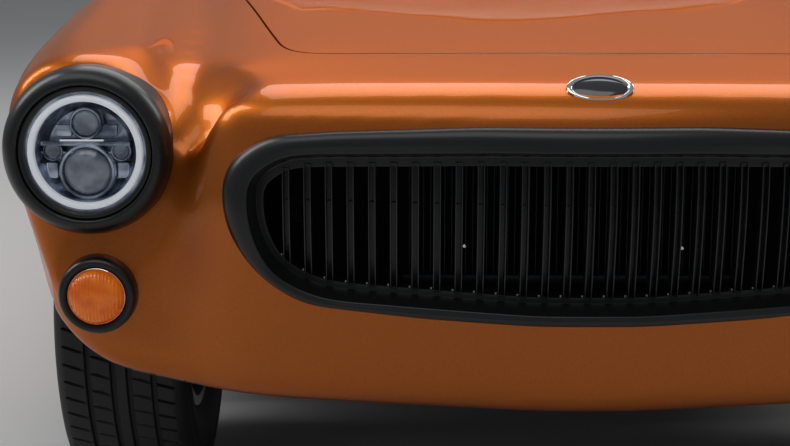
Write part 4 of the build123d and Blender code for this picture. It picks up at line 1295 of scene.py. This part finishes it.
def puffed(bm, look, channels, size):
    obj = looseObject("puff", bm)
    grid = obj.modifiers.new("grid", "REMESH")
    grid.mode = "VOXEL"
    grid.voxel_size = look["voxel"]
    applyModifiers(obj)
    rest = [v.co.copy() for v in obj.data.vertices]
    cloth = obj.modifiers.new("cloth", "CLOTH")
    cloth.settings.use_pressure = True
    cloth.settings.uniform_pressure_force = look["pressure"]
    cloth.settings.effector_weights.gravity = 0
    cloth.point_cache.frame_start = 1
    cloth.point_cache.frame_end = look["frames"]
    for frameNumber in range(1, look["frames"] + 1):
        bpy.context.scene.frame_set(frameNumber)
    applyModifiers(obj)
    bpy.context.scene.frame_set(1)
    lying = size[2] < size[1]
    for v, start in zip(obj.data.vertices, rest):
        shift = v.co - start
        if shift.length > look["cap"]:
            v.co = start + shift * (look["cap"] / shift.length)
        pitch = size[0] / channels
        across = (v.co.x / pitch + 0.5 * (channels % 2)) % 1 - (0.5 if channels % 2 else 0)
        near = abs(((v.co.x + size[0] / 2) / pitch + 0.5) % 1 - 0.5) * pitch
        edge = abs(v.co.x) > size[0] / 2 - 0.02
        groove = 0 if edge else 0.006 * np.exp(-((near / 0.007) ** 2))
        if lying:
            v.co.z -= groove * copysign(1, v.co.z)
        else:
            v.co.y -= groove * copysign(1, v.co.y)
    out = bmesh.new()
    out.from_mesh(obj.data)
    bpy.data.objects.remove(obj)
    return out


def trimSeats(look):
    for group, xs, names in (("parts", (look["seatX"], -look["seatX"]), ("seat_left", "seat_right")), ("bench", (0,), ("rear_bench",))):
        for part, (centre, size, lean, channels) in look[group].items():
            bm = puffed(boxShape((0, 0, 0), size, min(size) * 0.42, 4), look, channels, size)
            mesh = bpy.data.meshes.new("cushionPattern")
            bm.to_mesh(mesh)
            bm.free()
            for x, node in zip(xs, names):
                place = Matrix.Translation((x + centre[0] / 1000, at(centre[1]), centre[2] / 1000))
                pad = bmesh.new()
                pad.from_mesh(mesh)
                bmesh.ops.transform(pad, matrix=place @ Matrix.Rotation(radians(lean), 4, "X"), verts=pad.verts)
                piece = newPiece(node.replace("_", "") + part, pad, leather, sharp=80, instead=(node,))
        for x, node in zip(xs, names):
            if group == "parts":
                base = boxShape((x, at(2260), 0.312), (0.40, 0.40, 0.19), 0.015, 3)
                joinInto(base, boxShape((x, at(2600), 0.66), (0.40, 0.02, 0.46), 0.009, 3, Matrix.Rotation(radians(-15.5), 4, "X")))
                newPiece(node.replace("_", "") + "Frame", base, plastic)
            else:
                newPiece("rearBenchBase", boxShape((0, at(2850), 0.375), (0.94, 0.26, 0.05), 0.01, 2), plastic)


trimSeats(cushions)
print("seats done")


def dashFittings():
    low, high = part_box("dashboard")
    dial = shader("dialBlack", (0.012, 0.012, 0.013), 0.3, coat=0.6)
    addBump(dial, 200, 0.05, 0.0002)
    tree = treeOf(nodes["dashboard"])
    faces = bmesh.new()
    rings = bmesh.new()
    needles = bmesh.new()
    for x, r in ((0.30, 44), (0.43, 44), (0.16, 26), (0.09, 26)):
        z = low[2] + (high[2] - low[2]) * 0.55
        hit = surfaceAt(tree, (x, high[1] + 0.4, z), (0, -1, 0))[0]
        if hit is None:
            continue
        joinInto(faces, lathe([(0, 3), (r, 3), (r, -4), (0, -4)], hit, "Y", 48))
        joinInto(rings, lathe([(r, -3), (r + 4, -3), (r + 4, 5), (r + 2, 8), (r, 6)], hit, "Y", 48))
        turn = Matrix.Rotation(radians(40), 4, "Y")
        joinInto(needles, boxShape((hit.x, hit.y + 0.005, hit.z), (0.0016, 0.001, r * 0.0016), 0.0004, 1, turn))
    newPiece("dials", faces, dial, sharp=40)
    newPiece("dialRings", rings, chrome, sharp=40)
    needleWhite = shader("needleWhite", (0.8, 0.8, 0.76), 0.5)
    addBump(needleWhite, 200, 0.02, 0.0001)
    newPiece("dialNeedles", needles, needleWhite)


dashFittings()
print("dashboard done")
